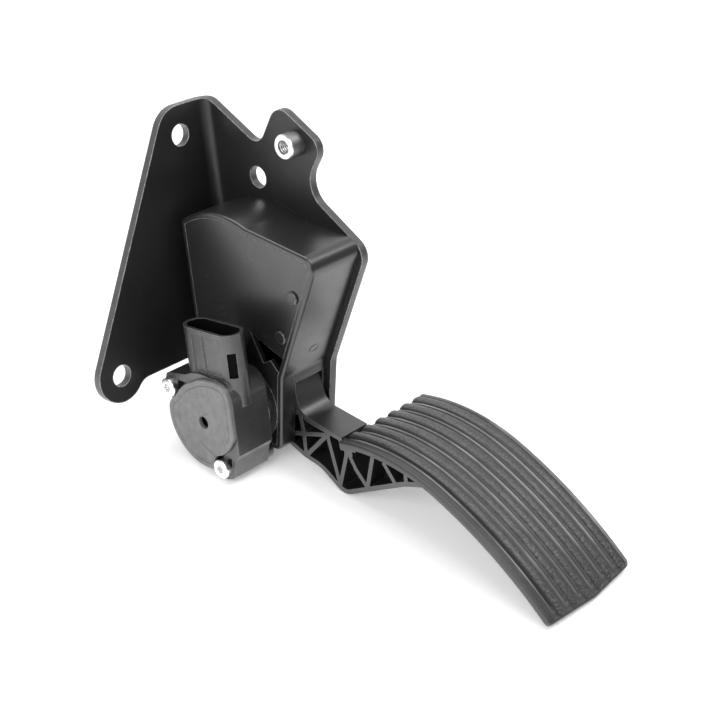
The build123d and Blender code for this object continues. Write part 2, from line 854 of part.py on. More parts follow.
def end_prism(inset):
    """Prism that gives the treadle's lower end its shallow point, less an inset."""
    middle_x = tread_near_x + tread_point_share * tread_width
    corner = tread_end_point + inset
    face = Polygon(
        (tread_near_x - 1, far),
        (tread_near_x - 1, corner),
        (middle_x, inset),
        (tread_far_x + 1, corner),
        (tread_far_x + 1, far),
        align=None,
    )
    return extrude(tread_end_plane() * face, far / 2, both=True)


def treadle_pad():
    """Mould the rubber pad: a skirted tray over the carrier, grooved lengthwise."""
    length = tread_length()
    pad = along_x(tread_band(0, tread_thickness, 0, length), tread_near_x, tread_far_x)
    pad &= end_prism(0)
    pad = fillet(pad_rim(pad), tread_edge_round)
    skin = tread_thickness - carrier_thickness - seat_gap
    recess = tread_band(skin, tread_thickness + 1, tread_skirt - seat_gap, length)
    hollow = along_x(recess, carrier_near_x() - seat_gap, carrier_far_x() + seat_gap)
    pad -= hollow & end_prism(tread_skirt - seat_gap)
    cut = groove_band()
    half = groove_width / 2
    ridge = groove_ridge / 2
    for number in range(groove_count):
        middle = tread_near_x + groove_first + groove_pitch * number
        pad -= along_x(cut, middle - half, middle - ridge)
        pad -= along_x(cut, middle + ridge, middle + half)
    return pad


def pad_rim(pad):
    """Edges round the top of the pad."""
    top_depth = 0.05
    rim = []
    for edge in pad.edges():
        middle = edge @ 0.5
        if tread_depth(middle.Y, middle.Z) < top_depth and on_rim(edge):
            rim.append(edge)
    return rim


def on_rim(edge):
    """Tell a rim edge from the seam between the treadle's two arcs."""
    (seam_y, seam_z), _ = tread_point(tread_upper_length)
    middle = edge @ 0.5
    return hypot(middle.Y - seam_y, middle.Z - seam_z) > 1.0


def tread_depth(y, z):
    """Depth of a side point under the treadle's upper curve."""
    depths = []
    for centre, radius, first, last in tread_arcs():
        angle = atan2(centre[0] - y, z - centre[1])
        if first - 0.05 <= angle <= last + 0.05:
            depths.append(abs(radius - hypot(y - centre[0], z - centre[1])))
    return min(depths) if depths else far


def groove_band():
    """Side profile of a groove, from the pad's upper end to near its lower end."""
    return tread_band(-1.0, groove_depth, 0, tread_length() - groove_end_strip)


# Arm


def carrier_near_x():
    """Near edge of the carrier plate under the pad."""
    return tread_near_x + tread_skirt


def carrier_far_x():
    """Far edge of the carrier plate under the pad."""
    return tread_far_x - tread_skirt


def arm_outline():
    """Side outline of the arm from its hub to the treadle, before its pockets."""
    heel = block(from_pivot((0, -heel_height / 2)), from_pivot((heel_reach, heel_height / 2)))
    sector = disc(shield_r) & sector_face()
    knee = (-26.0, -28.1)
    reach = hypot(*knee)
    slope = atan2(-knee[1], -knee[0]) - asin(hub_r / reach)
    run = sqrt(reach**2 - hub_r**2)
    hub_touch = (knee[0] + run * cos(slope), knee[1] + run * sin(slope))
    leave = radians(shield_leave_angle)
    shield_touch = (shield_r * cos(leave), shield_r * sin(leave))
    corners = [
        (0, 0, 0),
        (*shield_touch, 0),
        (-26.2, -4.7, 10),
        (tread_start_y, tread_start_z + 0.4, 0),
        (-104.5, tread_start_z + 0.4, 0),
        (-104.5, -22.6, 0),
        (-90.5, -25.9, 25),
        (-50.6, -42.0, 9),
        (-36.0, -30.8, 20),
        (*knee, 15),
        (*hub_touch, 0),
    ]
    limb = outline([(*from_pivot((y, z)), radius) for y, z, radius in corners])
    return disc(hub_r) + heel + sector + (limb - above_carrier())


def above_carrier():
    """Space over the carrier, and round the pad's upper skirt, that the limb leaves free."""
    middle = tread_thickness - carrier_thickness / 2
    space = tread_band(-20, middle, 0, tread_length())
    return space + tread_band(-20, tread_thickness + seat_gap, 0, tread_skirt)


def sector_face():
    """Wedge from the pivot that bounds the shield."""
    reach = 2 * shield_r
    return Polygon(
        pivot,
        polar(reach, shield_top_angle),
        polar(reach, (shield_top_angle + shield_foot_angle) / 2),
        polar(reach, shield_foot_angle),
        align=None,
    )


def arm_ribs():
    """Ribs of the arm's truss, drawn between nodes measured from the pivot."""
    crown = (-25.4, -3.2)
    joint = (-27.0, -15.1)
    foot = (-26.8, -27.0)
    top = (-42.9, -11.7)
    low = (-48.2, -37.2)
    tread_1 = (-55.2, -17.0)
    tread_2 = (-71.1, -16.6)
    tread_3 = (-78.7, -18.2)
    low_2 = (-66.2, -33.4)
    low_3 = (-84.5, -26.6)
    end_top = (-91.1, -20.0)
    end_low = (-91.1, -24.0)
    bow = (-60.0, -25.9)
    spans = [
        (crown, joint),
        (joint, foot),
        (crown, (-12.0, -11.0)),
        (joint, (-8.0, -18.5)),
        (joint, top),
        (top, foot),
        (top, low),
        (tread_1, low),
        (tread_1, bow),
        (bow, low_2),
        (tread_2, low_2),
        (tread_3, low_3),
        (end_top, end_low),
    ]
    ribs = disc(hub_r)
    for start, end in spans:
        ribs += bar(from_pivot(start), from_pivot(end))
    return ribs


def peg_lugs():
    """Round lugs on the web that take the moving ends of both springs."""
    outer = disc(outer_wire_d / 2 + peg_lug_wall, peg_place(outer_coil_r, outer_peg_angle, 1))
    inner = disc(inner_wire_d / 2 + peg_lug_wall, peg_place(inner_coil_r, inner_peg_angle, 1))
    return outer + inner


def gussets():
    """Tapered ribs that carry the far side of the carrier from the arm."""
    top_z = pivot_z + tread_start_z
    shape = None
    for y, drop in gusset_drops:
        face = Polygon(
            (arm_far_x - 1, top_z),
            (carrier_far_x() - gusset_inset, top_z),
            (carrier_far_x() - gusset_inset, top_z - gusset_end_drop),
            (arm_far_x - 1, top_z - drop),
            align=None,
        )
        start = pivot_y + y
        rib = along_y(face, start, start - stiffener_thickness)
        shape = rib if shape is None else shape + rib
    return shape - along_x(above_carrier(), -far / 4, far / 4)


def stiffeners():
    """Two shallow ribs that run down the back of the carrier."""
    deep = tread_thickness + stiffener_height
    end = tread_length() - stiffener_inset
    profile = tread_band(tread_thickness - 1, deep, stiffener_start, end)
    near = arm_far_x - stiffener_thickness
    far_side = carrier_far_x() - stiffener_inset
    ribs = along_x(profile, near, near + stiffener_thickness)
    return ribs + along_x(profile, far_side, far_side + stiffener_thickness)


def pedal_arm():
    """Mould the arm in one piece: hub, shield, truss and the carrier under the pad."""
    side = arm_outline()
    arm = along_x(side, arm_near_x, arm_far_x)
    pockets = side - trace(side.edges(), 2 * arm_flange) - arm_ribs()
    heel_core = block(from_pivot((0, -heel_height / 2)), from_pivot((far, heel_height / 2)))
    pockets -= heel_core
    web_far = arm_far_x - arm_web_inset
    arm -= along_x(pockets - peg_lugs(), arm_near_x - 1, web_far - arm_web)
    arm -= along_x(pockets, web_far, arm_far_x + 1)
    plate_face = tread_band(
        tread_thickness - carrier_thickness, tread_thickness, tread_skirt, tread_length()
    )
    carrier = along_x(plate_face, carrier_near_x(), carrier_far_x()) & end_prism(tread_skirt)
    arm += carrier
    arm += gussets()
    arm += stiffeners()
    arm += rod(hub_sleeve_r, plate_inner_x + moving_gap, arm_near_x)
    arm -= rod(shaft_d / 2, plate_inner_x, arm_far_x + 1)
    for radius, wire, angle in (
        (outer_coil_r, outer_wire_d, outer_peg_angle),
        (inner_coil_r, inner_wire_d, inner_peg_angle),
    ):
        hole = wire / 2 + spring_hole_gap
        place = peg_place(radius, angle, 1)
        arm -= rod(hole, arm_near_x - 1, arm_near_x + peg_depth + 1, place)
    return arm


# Springs and stops


def outer_leg_point(distance):
    """Point on the outer spring's straight leg, at a distance from where it leaves the coil."""
    start = polar(outer_coil_r, outer_leg_angle)
    along = radians(outer_leg_angle - 90)
    return (start[0] + distance * cos(along), start[1] + distance * sin(along))


def peg_place(mean_r, angle, turn):
    """Place of a spring's peg, bent off the coil: turn is 1 at the coil's end and -1 at its start."""
    lead = degrees(atan2(spring_bend, mean_r))
    return polar(hypot(mean_r, spring_bend), angle + turn * lead)


def coil_line(mean_r, wire_d, start_angle, end_angle):
    """Lay out the centre line of a coil about the pivot, with its ends left open."""
    first_x = spring_near_x + wire_d / 2
    last_x = spring_far_x - wire_d / 2
    turns = spring_turns + (end_angle - start_angle) / 360
    spin = radians(start_angle)
    seat = Plane(origin=(first_x, *pivot), x_dir=(0, cos(spin), sin(spin)), z_dir=(1, 0, 0))
    return seat * Helix((last_x - first_x) / turns, last_x - first_x, mean_r)


def peg_lines(start, along, end_x):
    """Turn a spring's wire off the coil into a straight peg along X, and return both pieces."""
    side = Vector(copysign(1, end_x - start.X), 0, 0)
    centre = start + side * spring_bend
    half = centre + (along - side) * (spring_bend * sqrt(0.5))
    foot = centre + along * spring_bend
    return ThreePointArc(start, half, foot), Line(foot, Vector(end_x, foot.Y, foot.Z))


def draw_wire(lines, wire_d):
    """Sweep round wire along joined lines, from the first one's start."""
    path = Wire([line.edge() for line in lines])
    section = Plane(origin=path @ 0, z_dir=path % 0) * Circle(wire_d / 2)
    return sweep(section, path=path)


def outer_return_spring():
    """Wind the outer return spring, with its long fixed leg and its peg in the arm."""
    line = coil_line(outer_coil_r, outer_wire_d, outer_leg_angle, outer_peg_angle)
    foot = line @ 0
    lead = line % 0
    level = Vector(0, lead.Y, lead.Z).normalized()
    leg = Spline(foot - level * outer_leg_reach, foot, tangents=(level, lead))
    bend, peg = peg_lines(line @ 1, line % 1, arm_near_x + peg_depth)
    return draw_wire([leg, line, bend, peg], outer_wire_d)


def inner_return_spring():
    """Wind the inner return spring, with a peg at each end."""
    line = coil_line(inner_coil_r, inner_wire_d, inner_fixed_angle, inner_peg_angle)
    fixed_x = plate_inner_x - side_plate_thickness + seat_gap
    back_bend, back_peg = peg_lines(line @ 0, -(line % 0), fixed_x)
    bend, peg = peg_lines(line @ 1, line % 1, arm_near_x + peg_depth)
    return draw_wire([back_peg, back_bend, line, bend, peg], inner_wire_d)


def idle_stop_pad():
    """Cut the elastic pad that the heel rests on when the pedal is released."""
    top = idle_stop_top_z()
    far_y = pivot_y + heel_reach - heel_end_gap
    face = block((far_y - stop_pad_length, top - stop_pad_thickness), (far_y, top))
    return along_x(face, arm_near_x, back_wall_x)


def full_travel_stop_pad():
    """Cut the elastic pad that stops the heel at full travel."""
    (y, z), angle = heel_stop_face()
    pad = Rectangle(stop_pad_length, stop_pad_thickness)
    face = Pos(y, z) * Rot(0, 0, angle) * Pos(0, stop_pad_thickness / 2) * pad
    return along_x(face, arm_near_x, back_wall_x)


nodes = {
    "mounting_bracket": mounting_bracket(),
    "threaded_standoff": threaded_standoff(),
    "housing_shell": housing_shell(),
    "side_plate": side_plate(),
    "side_plate_rivets": side_plate_rivets(),
    "housing_screws": housing_screws(),
    "bracket_bush": bush(back_wall_x, side_flange_far_x),
    "side_plate_bush": bush(seat_face_x, plate_inner_x),
    "sensor_body": sensor_body(),
    "sensor_cover": sensor_cover(),
    "circuit_board": circuit_board(),
    "terminal_pins": terminal_pins(),
    "screw_sleeves": screw_sleeves(),
    "sensor_screws": sensor_screws(),
    "sensor_seal": sensor_seal(),
    "sensor_rotor": sensor_rotor(),
    "rotor_magnets": rotor_magnets(),
    "pivot_shaft": pivot_shaft(),
    "retaining_ring": retaining_ring(),
    "thrust_washer": thrust_washer(),
    "pedal_arm": pedal_arm(),
    "treadle_pad": treadle_pad(),
    "outer_return_spring": outer_return_spring(),
    "inner_return_spring": inner_return_spring(),
    "idle_stop_pad": idle_stop_pad(),
    "full_travel_stop_pad": full_travel_stop_pad(),
}

os.makedirs("parts", exist_ok=True)
for name, shape in nodes.items():
    export_step(shape, f"parts/{name}.step")
    print(f"{name}: volume {shape.volume:.0f} mm3")
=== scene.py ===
import json
import logging
import math
from dataclasses import dataclass, field
from enum import Enum

import bmesh
import bpy
import numpy as np
from mathutils import Matrix, Vector


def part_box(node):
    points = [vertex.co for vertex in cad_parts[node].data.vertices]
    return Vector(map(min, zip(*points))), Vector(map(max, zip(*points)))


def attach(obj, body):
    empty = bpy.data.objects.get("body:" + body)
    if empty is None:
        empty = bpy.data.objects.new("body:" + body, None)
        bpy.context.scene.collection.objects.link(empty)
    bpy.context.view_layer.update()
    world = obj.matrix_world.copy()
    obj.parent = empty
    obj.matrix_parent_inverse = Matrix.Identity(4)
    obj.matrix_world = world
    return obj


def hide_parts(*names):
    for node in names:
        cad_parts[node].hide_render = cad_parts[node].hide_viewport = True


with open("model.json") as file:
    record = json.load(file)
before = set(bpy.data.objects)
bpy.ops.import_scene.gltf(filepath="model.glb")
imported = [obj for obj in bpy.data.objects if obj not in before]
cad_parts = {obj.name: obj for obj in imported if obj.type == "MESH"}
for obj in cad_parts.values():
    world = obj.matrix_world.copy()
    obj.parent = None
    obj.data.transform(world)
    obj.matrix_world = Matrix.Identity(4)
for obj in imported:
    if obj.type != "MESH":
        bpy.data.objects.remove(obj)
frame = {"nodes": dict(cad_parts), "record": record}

LOG = logging.getLogger("pedal_scene")
MM = 0.001
MERGE_DISTANCE = 0.001 * MM
SHARP_ANGLE = math.radians(50)
BEVEL_SAMPLES = 6
OCTAVE_STRENGTH = 0.55

Colour = tuple[float, float, float]
Point = tuple[float, float, float]
Faces = list[tuple[int, ...]]
Material = bpy.types.Material
Object = bpy.types.Object
Socket = bpy.types.NodeSocket
Tones = tuple[Socket, Socket]


class Body(Enum):
    """The two CAD bodies that pieces ride on."""

    MOUNT = "mount_assembly"
    PEDAL = "pedal"


def grey(level: float) -> Colour:
    """Return a neutral colour."""
    return (level, level, level)


def rgba(colour: Colour) -> tuple[float, float, float, float]:
    """Give a colour its alpha of one."""
    return (*colour, 1.0)


class NodeSheet:
    """A node tree, with short ways to add nodes and link them."""

    def __init__(self, tree: bpy.types.NodeTree) -> None:
        """Start on a tree.

        Args:
            tree: The tree that the nodes go into.
        """
        self.tree = tree

    def add(self, kind: str, settings: dict[str, object] | None = None, **inputs: object) -> bpy.types.Node:
        """Add a node.

        Args:
            kind: The node's type name.
            settings: Properties of the node itself.
            **inputs: Socket names, with _ for a space, and a value or an output socket each.

        Returns:
            The new node.
        """
        node = self.tree.nodes.new(kind)
        for key, value in (settings or {}).items():
            setattr(node, key, value)
        for key, value in inputs.items():
            self.feed(node.inputs[key.replace("_", " ")], value)
        return node

    def feed(self, socket: Socket, value: object) -> None:
        """Link a socket to an output, or set its own value.

        Args:
            socket: The input socket.
            value: An output socket, or the value to set.
        """
        if isinstance(value, bpy.types.NodeSocket):
            self.tree.links.new(value, socket)
        else:
            socket.default_value = value

    def fill(self, kind: str, settings: dict[str, object], *values: object) -> bpy.types.Node:
        """Add a node and feed its sockets in order.

        Args:
            kind: The node's type name.
            settings: Properties of the node itself.
            *values: Values or output sockets for its first inputs.

        Returns:
            The new node.
        """
        node = self.add(kind, settings)
        for number, value in enumerate(values):
            self.feed(node.inputs[number], value)
        return node

    def math(self, operation: str, *values: object) -> Socket:
        """Add a math node and return its result."""
        return self.fill("ShaderNodeMath", {"operation": operation}, *values).outputs[0]

    def span(self, value: object, low: float, high: float, start: float, end: float) -> Socket:
        """Map a range onto another, clamped, and return the result."""
        return self.fill("ShaderNodeMapRange", {"clamp": True}, value, low, high, start, end).outputs[0]

    def dot(self, first: object, second: object) -> Socket:
        """Multiply two vectors and return the dot product."""
        return self.fill("ShaderNodeVectorMath", {"operation": "DOT_PRODUCT"}, first, second).outputs["Value"]

    def hypot(self, first: Socket, second: Socket) -> Socket:
        """Return the length of two distances at right angles."""
        squares = [self.math("MULTIPLY", side, side) for side in (first, second)]
        return self.math("SQRT", self.math("ADD", *squares))

    def weigh(self, first: Socket, second: Socket, share: float) -> Socket:
        """Add up two values, the second one with a share of the weight."""
        return self.math("ADD", self.math("MULTIPLY", first, 1.0 - share), self.math("MULTIPLY", second, share))


class ShaderSheet(NodeSheet):
    """A material's nodes."""

    def __init__(self, name: str) -> None:
        """Start an empty material.

        Args:
            name: Name of the material.
        """
        self.material = bpy.data.materials.new(name)
        self.material.use_nodes = True
        super().__init__(self.material.node_tree)
        self.tree.nodes.clear()
        self.output = self.tree.nodes.new("ShaderNodeOutputMaterial")

    def mix(self, share: object, first: object, second: object) -> Socket:
        """Mix two colours.

        Args:
            share: Share of the second one.
            first: A colour or an output socket.
            second: A colour or an output socket.

        Returns:
            The mixed colour's socket.
        """
        node = self.add("ShaderNodeMix", {"data_type": "RGBA"})
        for number, value in ((0, share), (6, first), (7, second)):
            self.feed(node.inputs[number], value)
        return node.outputs[2]

    def noise(self, place: Socket, size: float, detail: float) -> Socket:
        """Add noise.

        Args:
            place: Socket of the coordinates.
            size: Size of its blobs, in metres.
            detail: Octaves of finer noise.

        Returns:
            The socket of its value, about 0 to 1.
        """
        inputs = {"Vector": place, "Scale": 1.0 / size, "Detail": detail, "Roughness": OCTAVE_STRENGTH}
        return self.add("ShaderNodeTexNoise", **inputs).outputs["Fac"]

    def patches(
        self, place: Socket, size: float, detail: float, ends: tuple[float, float], least: float = 0.0
    ) -> Socket:
        """Add noise that is stretched into patches.

        Args:
            place: Socket of the coordinates.
            size: Size of the patches, in metres.
            detail: Octaves of finer noise.
            ends: Noise values that become the least value and 1.
            least: The least value.

        Returns:
            The socket of its value.
        """
        return self.span(self.noise(place, size, detail), *ends, least, 1.0)

    def bevel(self, radius: float) -> Socket:
        """Return the normal of the surface with its edges rounded."""
        return self.add("ShaderNodeBevel", {"samples": BEVEL_SAMPLES}, Radius=radius).outputs[0]

    def bump(self, height: Socket, depth: float, normal: Socket) -> Socket:
        """Raise the surface by a height of 0 to 1 times a depth, and return the new normal."""
        return self.add("ShaderNodeBump", Height=height, Distance=depth, Strength=1.0, Normal=normal).outputs[0]

    def attribute(self, name: str) -> Socket:
        """Read a number that is stored on the mesh."""
        return self.add("ShaderNodeAttribute", {"attribute_name": name}).outputs["Fac"]

    def finish(self, shader: bpy.types.Node) -> Material:
        """Link the shader to the output and return the material."""
        self.feed(self.output.inputs["Surface"], shader.outputs[0])
        return self.material


@dataclass(frozen=True)
class Finish:
    """A surface with grain, mottling, softened edges, and edges lightened partly as wear and partly as a painted
    highlight.
    """

    name: str
    colour: Colour
    light: Colour
    roughness: float
    roughness_spread: float = 0.08
    metallic: float = 0.0
    specular: float = 0.5
    grain: float = 0.35 * MM
    relief: float = 0.02 * MM
    mottle: float = 9.0 * MM
    speck_share: float = 0.35
    edge_round: float = 0.4 * MM
    edge_highlight_wear_colour: Colour = grey(0.1)
    edge_highlight_wear_share: float = 0.35
    edge_spread: float = 1.1 * MM
    edge_turn: tuple[float, float] = (0.995, 0.8)
    edge_breaks: float = 2.5 * MM

    def edge_highlight_wear_mask(self, sheet: ShaderSheet, place: Socket) -> Socket:
        """Find the outer edges, which are lightened partly as wear and partly as a painted highlight, broken up by
        noise.

        Args:
            sheet: The material being made.
            place: Socket of the coordinates.

        Returns:
            Socket of the mask, 0 on flats and up to the edge's share on edges.
        """
        facing = sheet.dot(sheet.bevel(self.edge_spread), sheet.add("ShaderNodeNewGeometry").outputs["Normal"])
        turned = sheet.span(facing, *self.edge_turn, 0.0, 1.0)
        broken = sheet.patches(place, self.edge_breaks, 4.0, (0.35, 0.62), 0.35)
        return sheet.math("MULTIPLY", sheet.math("MULTIPLY", turned, broken), self.edge_highlight_wear_share)

    def tones(self, sheet: ShaderSheet, place: Socket) -> Tones:
        """Colour and roughness over the surface.

        Args:
            sheet: The material being made.
            place: Socket of the coordinates.

        Returns:
            Sockets of the colour and of the roughness.
        """
        cloud = sheet.patches(place, self.mottle, 5.0, (0.32, 0.68))
        speck = sheet.patches(place, self.grain * 2.0, 2.0, (0.3, 0.7))
        share = sheet.weigh(cloud, speck, self.speck_share)
        colour = sheet.mix(share, rgba(self.colour), rgba(self.light))
        # Edges lightened partly as wear and partly as a painted highlight.
        colour = sheet.mix(self.edge_highlight_wear_mask(sheet, place), colour, rgba(self.edge_highlight_wear_colour))
        dull = self.roughness + self.roughness_spread
        bright = self.roughness - self.roughness_spread
        return colour, sheet.span(share, 0.0, 1.0, dull, bright)

    def surface(self, sheet: ShaderSheet, place: Socket) -> Socket:
        """Return the normal with the softened edges and the grain."""
        return sheet.bump(sheet.noise(place, self.grain, 3.0), self.relief, sheet.bevel(self.edge_round))

    def gloss(self, sheet: ShaderSheet, place: Socket) -> Socket | None:
        """Return the specular level where it varies over the surface, or None where it doesn't."""
        return None

    def material(self) -> Material:
        """Make the material.

        Returns:
            The material.
        """
        sheet = ShaderSheet(self.name)
        place = sheet.add("ShaderNodeTexCoord").outputs["Object"]
        colour, roughness = self.tones(sheet, place)
        shader = sheet.add(
            "ShaderNodeBsdfPrincipled", Base_Color=colour, Roughness=roughness, Metallic=self.metallic,
            Specular_IOR_Level=self.specular, Normal=self.surface(sheet, place),
        )
        gloss = self.gloss(sheet, place)
        if gloss is not None:
            sheet.feed(shader.inputs["Specular IOR Level"], gloss)
        return sheet.finish(shader)


@dataclass(frozen=True)
class TreadFinish(Finish):
    """Rubber with stippled bands, with painted shade between the stipple's peaks and a painted highlight on them, and a
    patchy painted highlight on the ridges and the far rim.
    """

    # Painted shade between the stipple's peaks, and a painted highlight on them.
    stipple_valley_shade: Colour = (0.006, 0.006, 0.0061)
    stipple_peak_highlight: Colour = (0.05, 0.05, 0.0507)
    # Colour of the painted highlight on the ridges and the far rim.
    ridge: Colour = (0.22, 0.22, 0.221)
    fine: float = 0.9 * MM
    fine_share: float = 0.65
    highlight_patch_size: float = 28.0 * MM
    band_share: float = 0.85

    def tones(self, sheet: ShaderSheet, place: Socket) -> Tones:
        """Colour and roughness, with painted shade in the bands' valleys, painted highlights on the stipple's peaks,
        and patchy painted highlights on the ridges and the far rim.

        Args:
            sheet: The material being made.
            place: Socket of the coordinates.

        Returns:
            Sockets of the colour and of the roughness.
        """
        colour, roughness = super().tones(sheet, place)
        band = sheet.attribute("band")
        fine = sheet.patches(place, self.fine, 1.0, (0.45, 0.55))
        share = sheet.weigh(sheet.attribute("worm"), fine, self.fine_share)
        # Painted shade in the stipple's valleys and a painted highlight on its peaks.
        stippled = sheet.mix(share, rgba(self.stipple_valley_shade), rgba(self.stipple_peak_highlight))
        # Patchy painted highlight on the ridges and the far rim, where the band attribute is negative.
        patchy = sheet.patches(place, self.highlight_patch_size, 2.0, (0.4, 0.62), 0.35)
        highlit = sheet.math("MULTIPLY", sheet.span(band, 0.0, -1.0, 0.0, 1.0), patchy)
        colour = sheet.mix(highlit, colour, rgba(self.ridge))
        return sheet.mix(sheet.span(band, 0.0, 1.0, 0.0, self.band_share), colour, stippled), roughness


@dataclass(frozen=True)
class SheetFinish(Finish):
    """Coated sheet metal, lighter on the faces where the plate was cut, partly as bare metal and partly as a painted
    highlight.
    """

    cut_colour: Colour = grey(0.055)
    cut_lean: tuple[float, float] = (0.3, 0.6)
    cut_breaks: float = 5.0 * MM
    bend_x: float = 12.5 * MM
    bend_y: float = -9.2 * MM

    def tones(self, sheet: ShaderSheet, place: Socket) -> Tones:
        """Colour and roughness, with the cut faces lightened unevenly, partly as bare metal and partly as a painted
        highlight.

        Args:
            sheet: The material being made.
            place: Socket of the coordinates.

        Returns:
            Sockets of the colour and of the roughness.
        """
        colour, roughness = super().tones(sheet, place)
        spot = sheet.add("ShaderNodeSeparateXYZ", Vector=place)
        turned = sheet.add("ShaderNodeTexCoord").outputs["Normal"]
        facing = sheet.add("ShaderNodeSeparateXYZ", Vector=turned)
        lean = [sheet.math("ABSOLUTE", facing.outputs[number]) for number in range(3)]
        on_firewall = sheet.math("LESS_THAN", spot.outputs[0], self.bend_x)
        on_side = sheet.math("LESS_THAN", spot.outputs[1], self.bend_y)
        across = sheet.math("MULTIPLY", lean[0], on_firewall)
        along = sheet.math("MULTIPLY", lean[1], on_side)
        cut = sheet.math("MAXIMUM", sheet.math("MAXIMUM", across, along), lean[2])
        # Uneven patches of the cut faces' lightening, which is partly bare metal and partly a painted highlight.
        patchy = sheet.patches(place, self.cut_breaks, 4.0, (0.3, 0.7), 0.55)
        share = sheet.math("MULTIPLY", sheet.span(cut, *self.cut_lean, 0.0, 1.0), patchy)
        return sheet.mix(share, colour, rgba(self.cut_colour)), roughness


@dataclass(frozen=True)
class SocketFinish(Finish):
    """Moulding with painted shade inside its connector and its latch window, where little light gets in."""

    middle: tuple[float, float] = (-31.0 * MM, -45.5 * MM)
    half_run: float = 10.5 * MM
    hollow_r: float = 6.0 * MM
    window_skin: float = 0.55 * MM
    window_from: float = 1.0 * MM
    floor_z: float = -101.2 * MM
    mouth_z: float = -79.5 * MM
    inside_shade: Colour = grey(0.001)
    dark_specular: float = 0.12
    dark_roughness: float = 0.9

    def inside(self, sheet: ShaderSheet, place: Socket) -> Socket:
        """Find the connector's hollow and the window its latch goes through.

        Args:
            sheet: The material being made.
            place: Socket of the coordinates.

        Returns:
            Socket of the mask, 1 inside.
        """
        spot = sheet.add("ShaderNodeSeparateXYZ", Vector=place)
        x = sheet.math("SUBTRACT", spot.outputs[0], self.middle[0])
        run = sheet.math("ABSOLUTE", sheet.math("SUBTRACT", spot.outputs[1], self.middle[1]))
        y = sheet.math("MAXIMUM", sheet.math("SUBTRACT", run, self.half_run), 0.0)
        at_end = sheet.math("GREATER_THAN", y, self.window_from)
        limit = sheet.math("ADD", sheet.math("MULTIPLY", at_end, self.window_skin), self.hollow_r)
        within = sheet.math("LESS_THAN", sheet.hypot(x, y), limit)
        within = sheet.math("MULTIPLY", within, sheet.math("GREATER_THAN", spot.outputs[2], self.floor_z))
        return sheet.math("MULTIPLY", within, sheet.math("LESS_THAN", spot.outputs[2], self.mouth_z))

    def gloss(self, sheet: ShaderSheet, place: Socket) -> Socket | None:
        """Return the specular level, which falls inside the connector to deepen its painted shade."""
        return sheet.span(self.inside(sheet, place), 0.0, 1.0, self.specular, self.dark_specular)

    def tones(self, sheet: ShaderSheet, place: Socket) -> Tones:
        """Colour and roughness, with painted shade and dullness inside the connector.

        Args:
            sheet: The material being made.
            place: Socket of the coordinates.

        Returns:
            Sockets of the colour and of the roughness.
        """
        colour, roughness = super().tones(sheet, place)
        within = self.inside(sheet, place)
        dull = sheet.math("MULTIPLY", within, self.dark_roughness)
        # Painted shade inside the connector.
        return sheet.mix(within, colour, rgba(self.inside_shade)), sheet.math("MAXIMUM", roughness, dull)


@dataclass(frozen=True)
class SleeveFinish(Finish):
    """Zinc, darker and duller round its outside, with painted shade in its bore."""

    axis_y: float = -62.9 * MM
    axis_z: float = -2.2 * MM
    bore_r: float = 3.5 * MM
    side_r: float = 5.85 * MM
    outer_tone: Colour = grey(0.22)
    outer_fade: float = 0.25 * MM
    outer_roughness: float = 0.5
    bore_shade: Colour = grey(0.3)

    def tones(self, sheet: ShaderSheet, place: Socket) -> Tones:
        """Colour and roughness by the distance from the sleeve's axis.

        Args:
            sheet: The material being made.
            place: Socket of the coordinates.

        Returns:
            Sockets of the colour and of the roughness.
        """
        colour, roughness = super().tones(sheet, place)
        spot = sheet.add("ShaderNodeSeparateXYZ", Vector=place)
        y = sheet.math("SUBTRACT", spot.outputs[1], self.axis_y)
        z = sheet.math("SUBTRACT", spot.outputs[2], self.axis_z)
        reach = sheet.hypot(y, z)
        outside = sheet.span(reach, self.side_r, self.side_r + self.outer_fade, 0.0, 1.0)
        inside = sheet.math("LESS_THAN", reach, self.bore_r)
        # Darker and duller round the outside.
        colour = sheet.mix(outside, colour, rgba(self.outer_tone))
        roughness = sheet.math("MAXIMUM", roughness, sheet.math("MULTIPLY", outside, self.outer_roughness))
        # Painted shade in the bore.
        return sheet.mix(inside, colour, rgba(self.bore_shade)), roughness


NODE_FINISHES: dict[str, Finish] = {
    "threaded_standoff": SleeveFinish(
        "zinc_sleeve", grey(0.72), grey(0.84), 0.3, 0.04, metallic=1.0, grain=0.25 * MM, relief=0.006 * MM,
        mottle=2.0 * MM, edge_round=0.15 * MM, edge_highlight_wear_share=0.0,
    ),
}

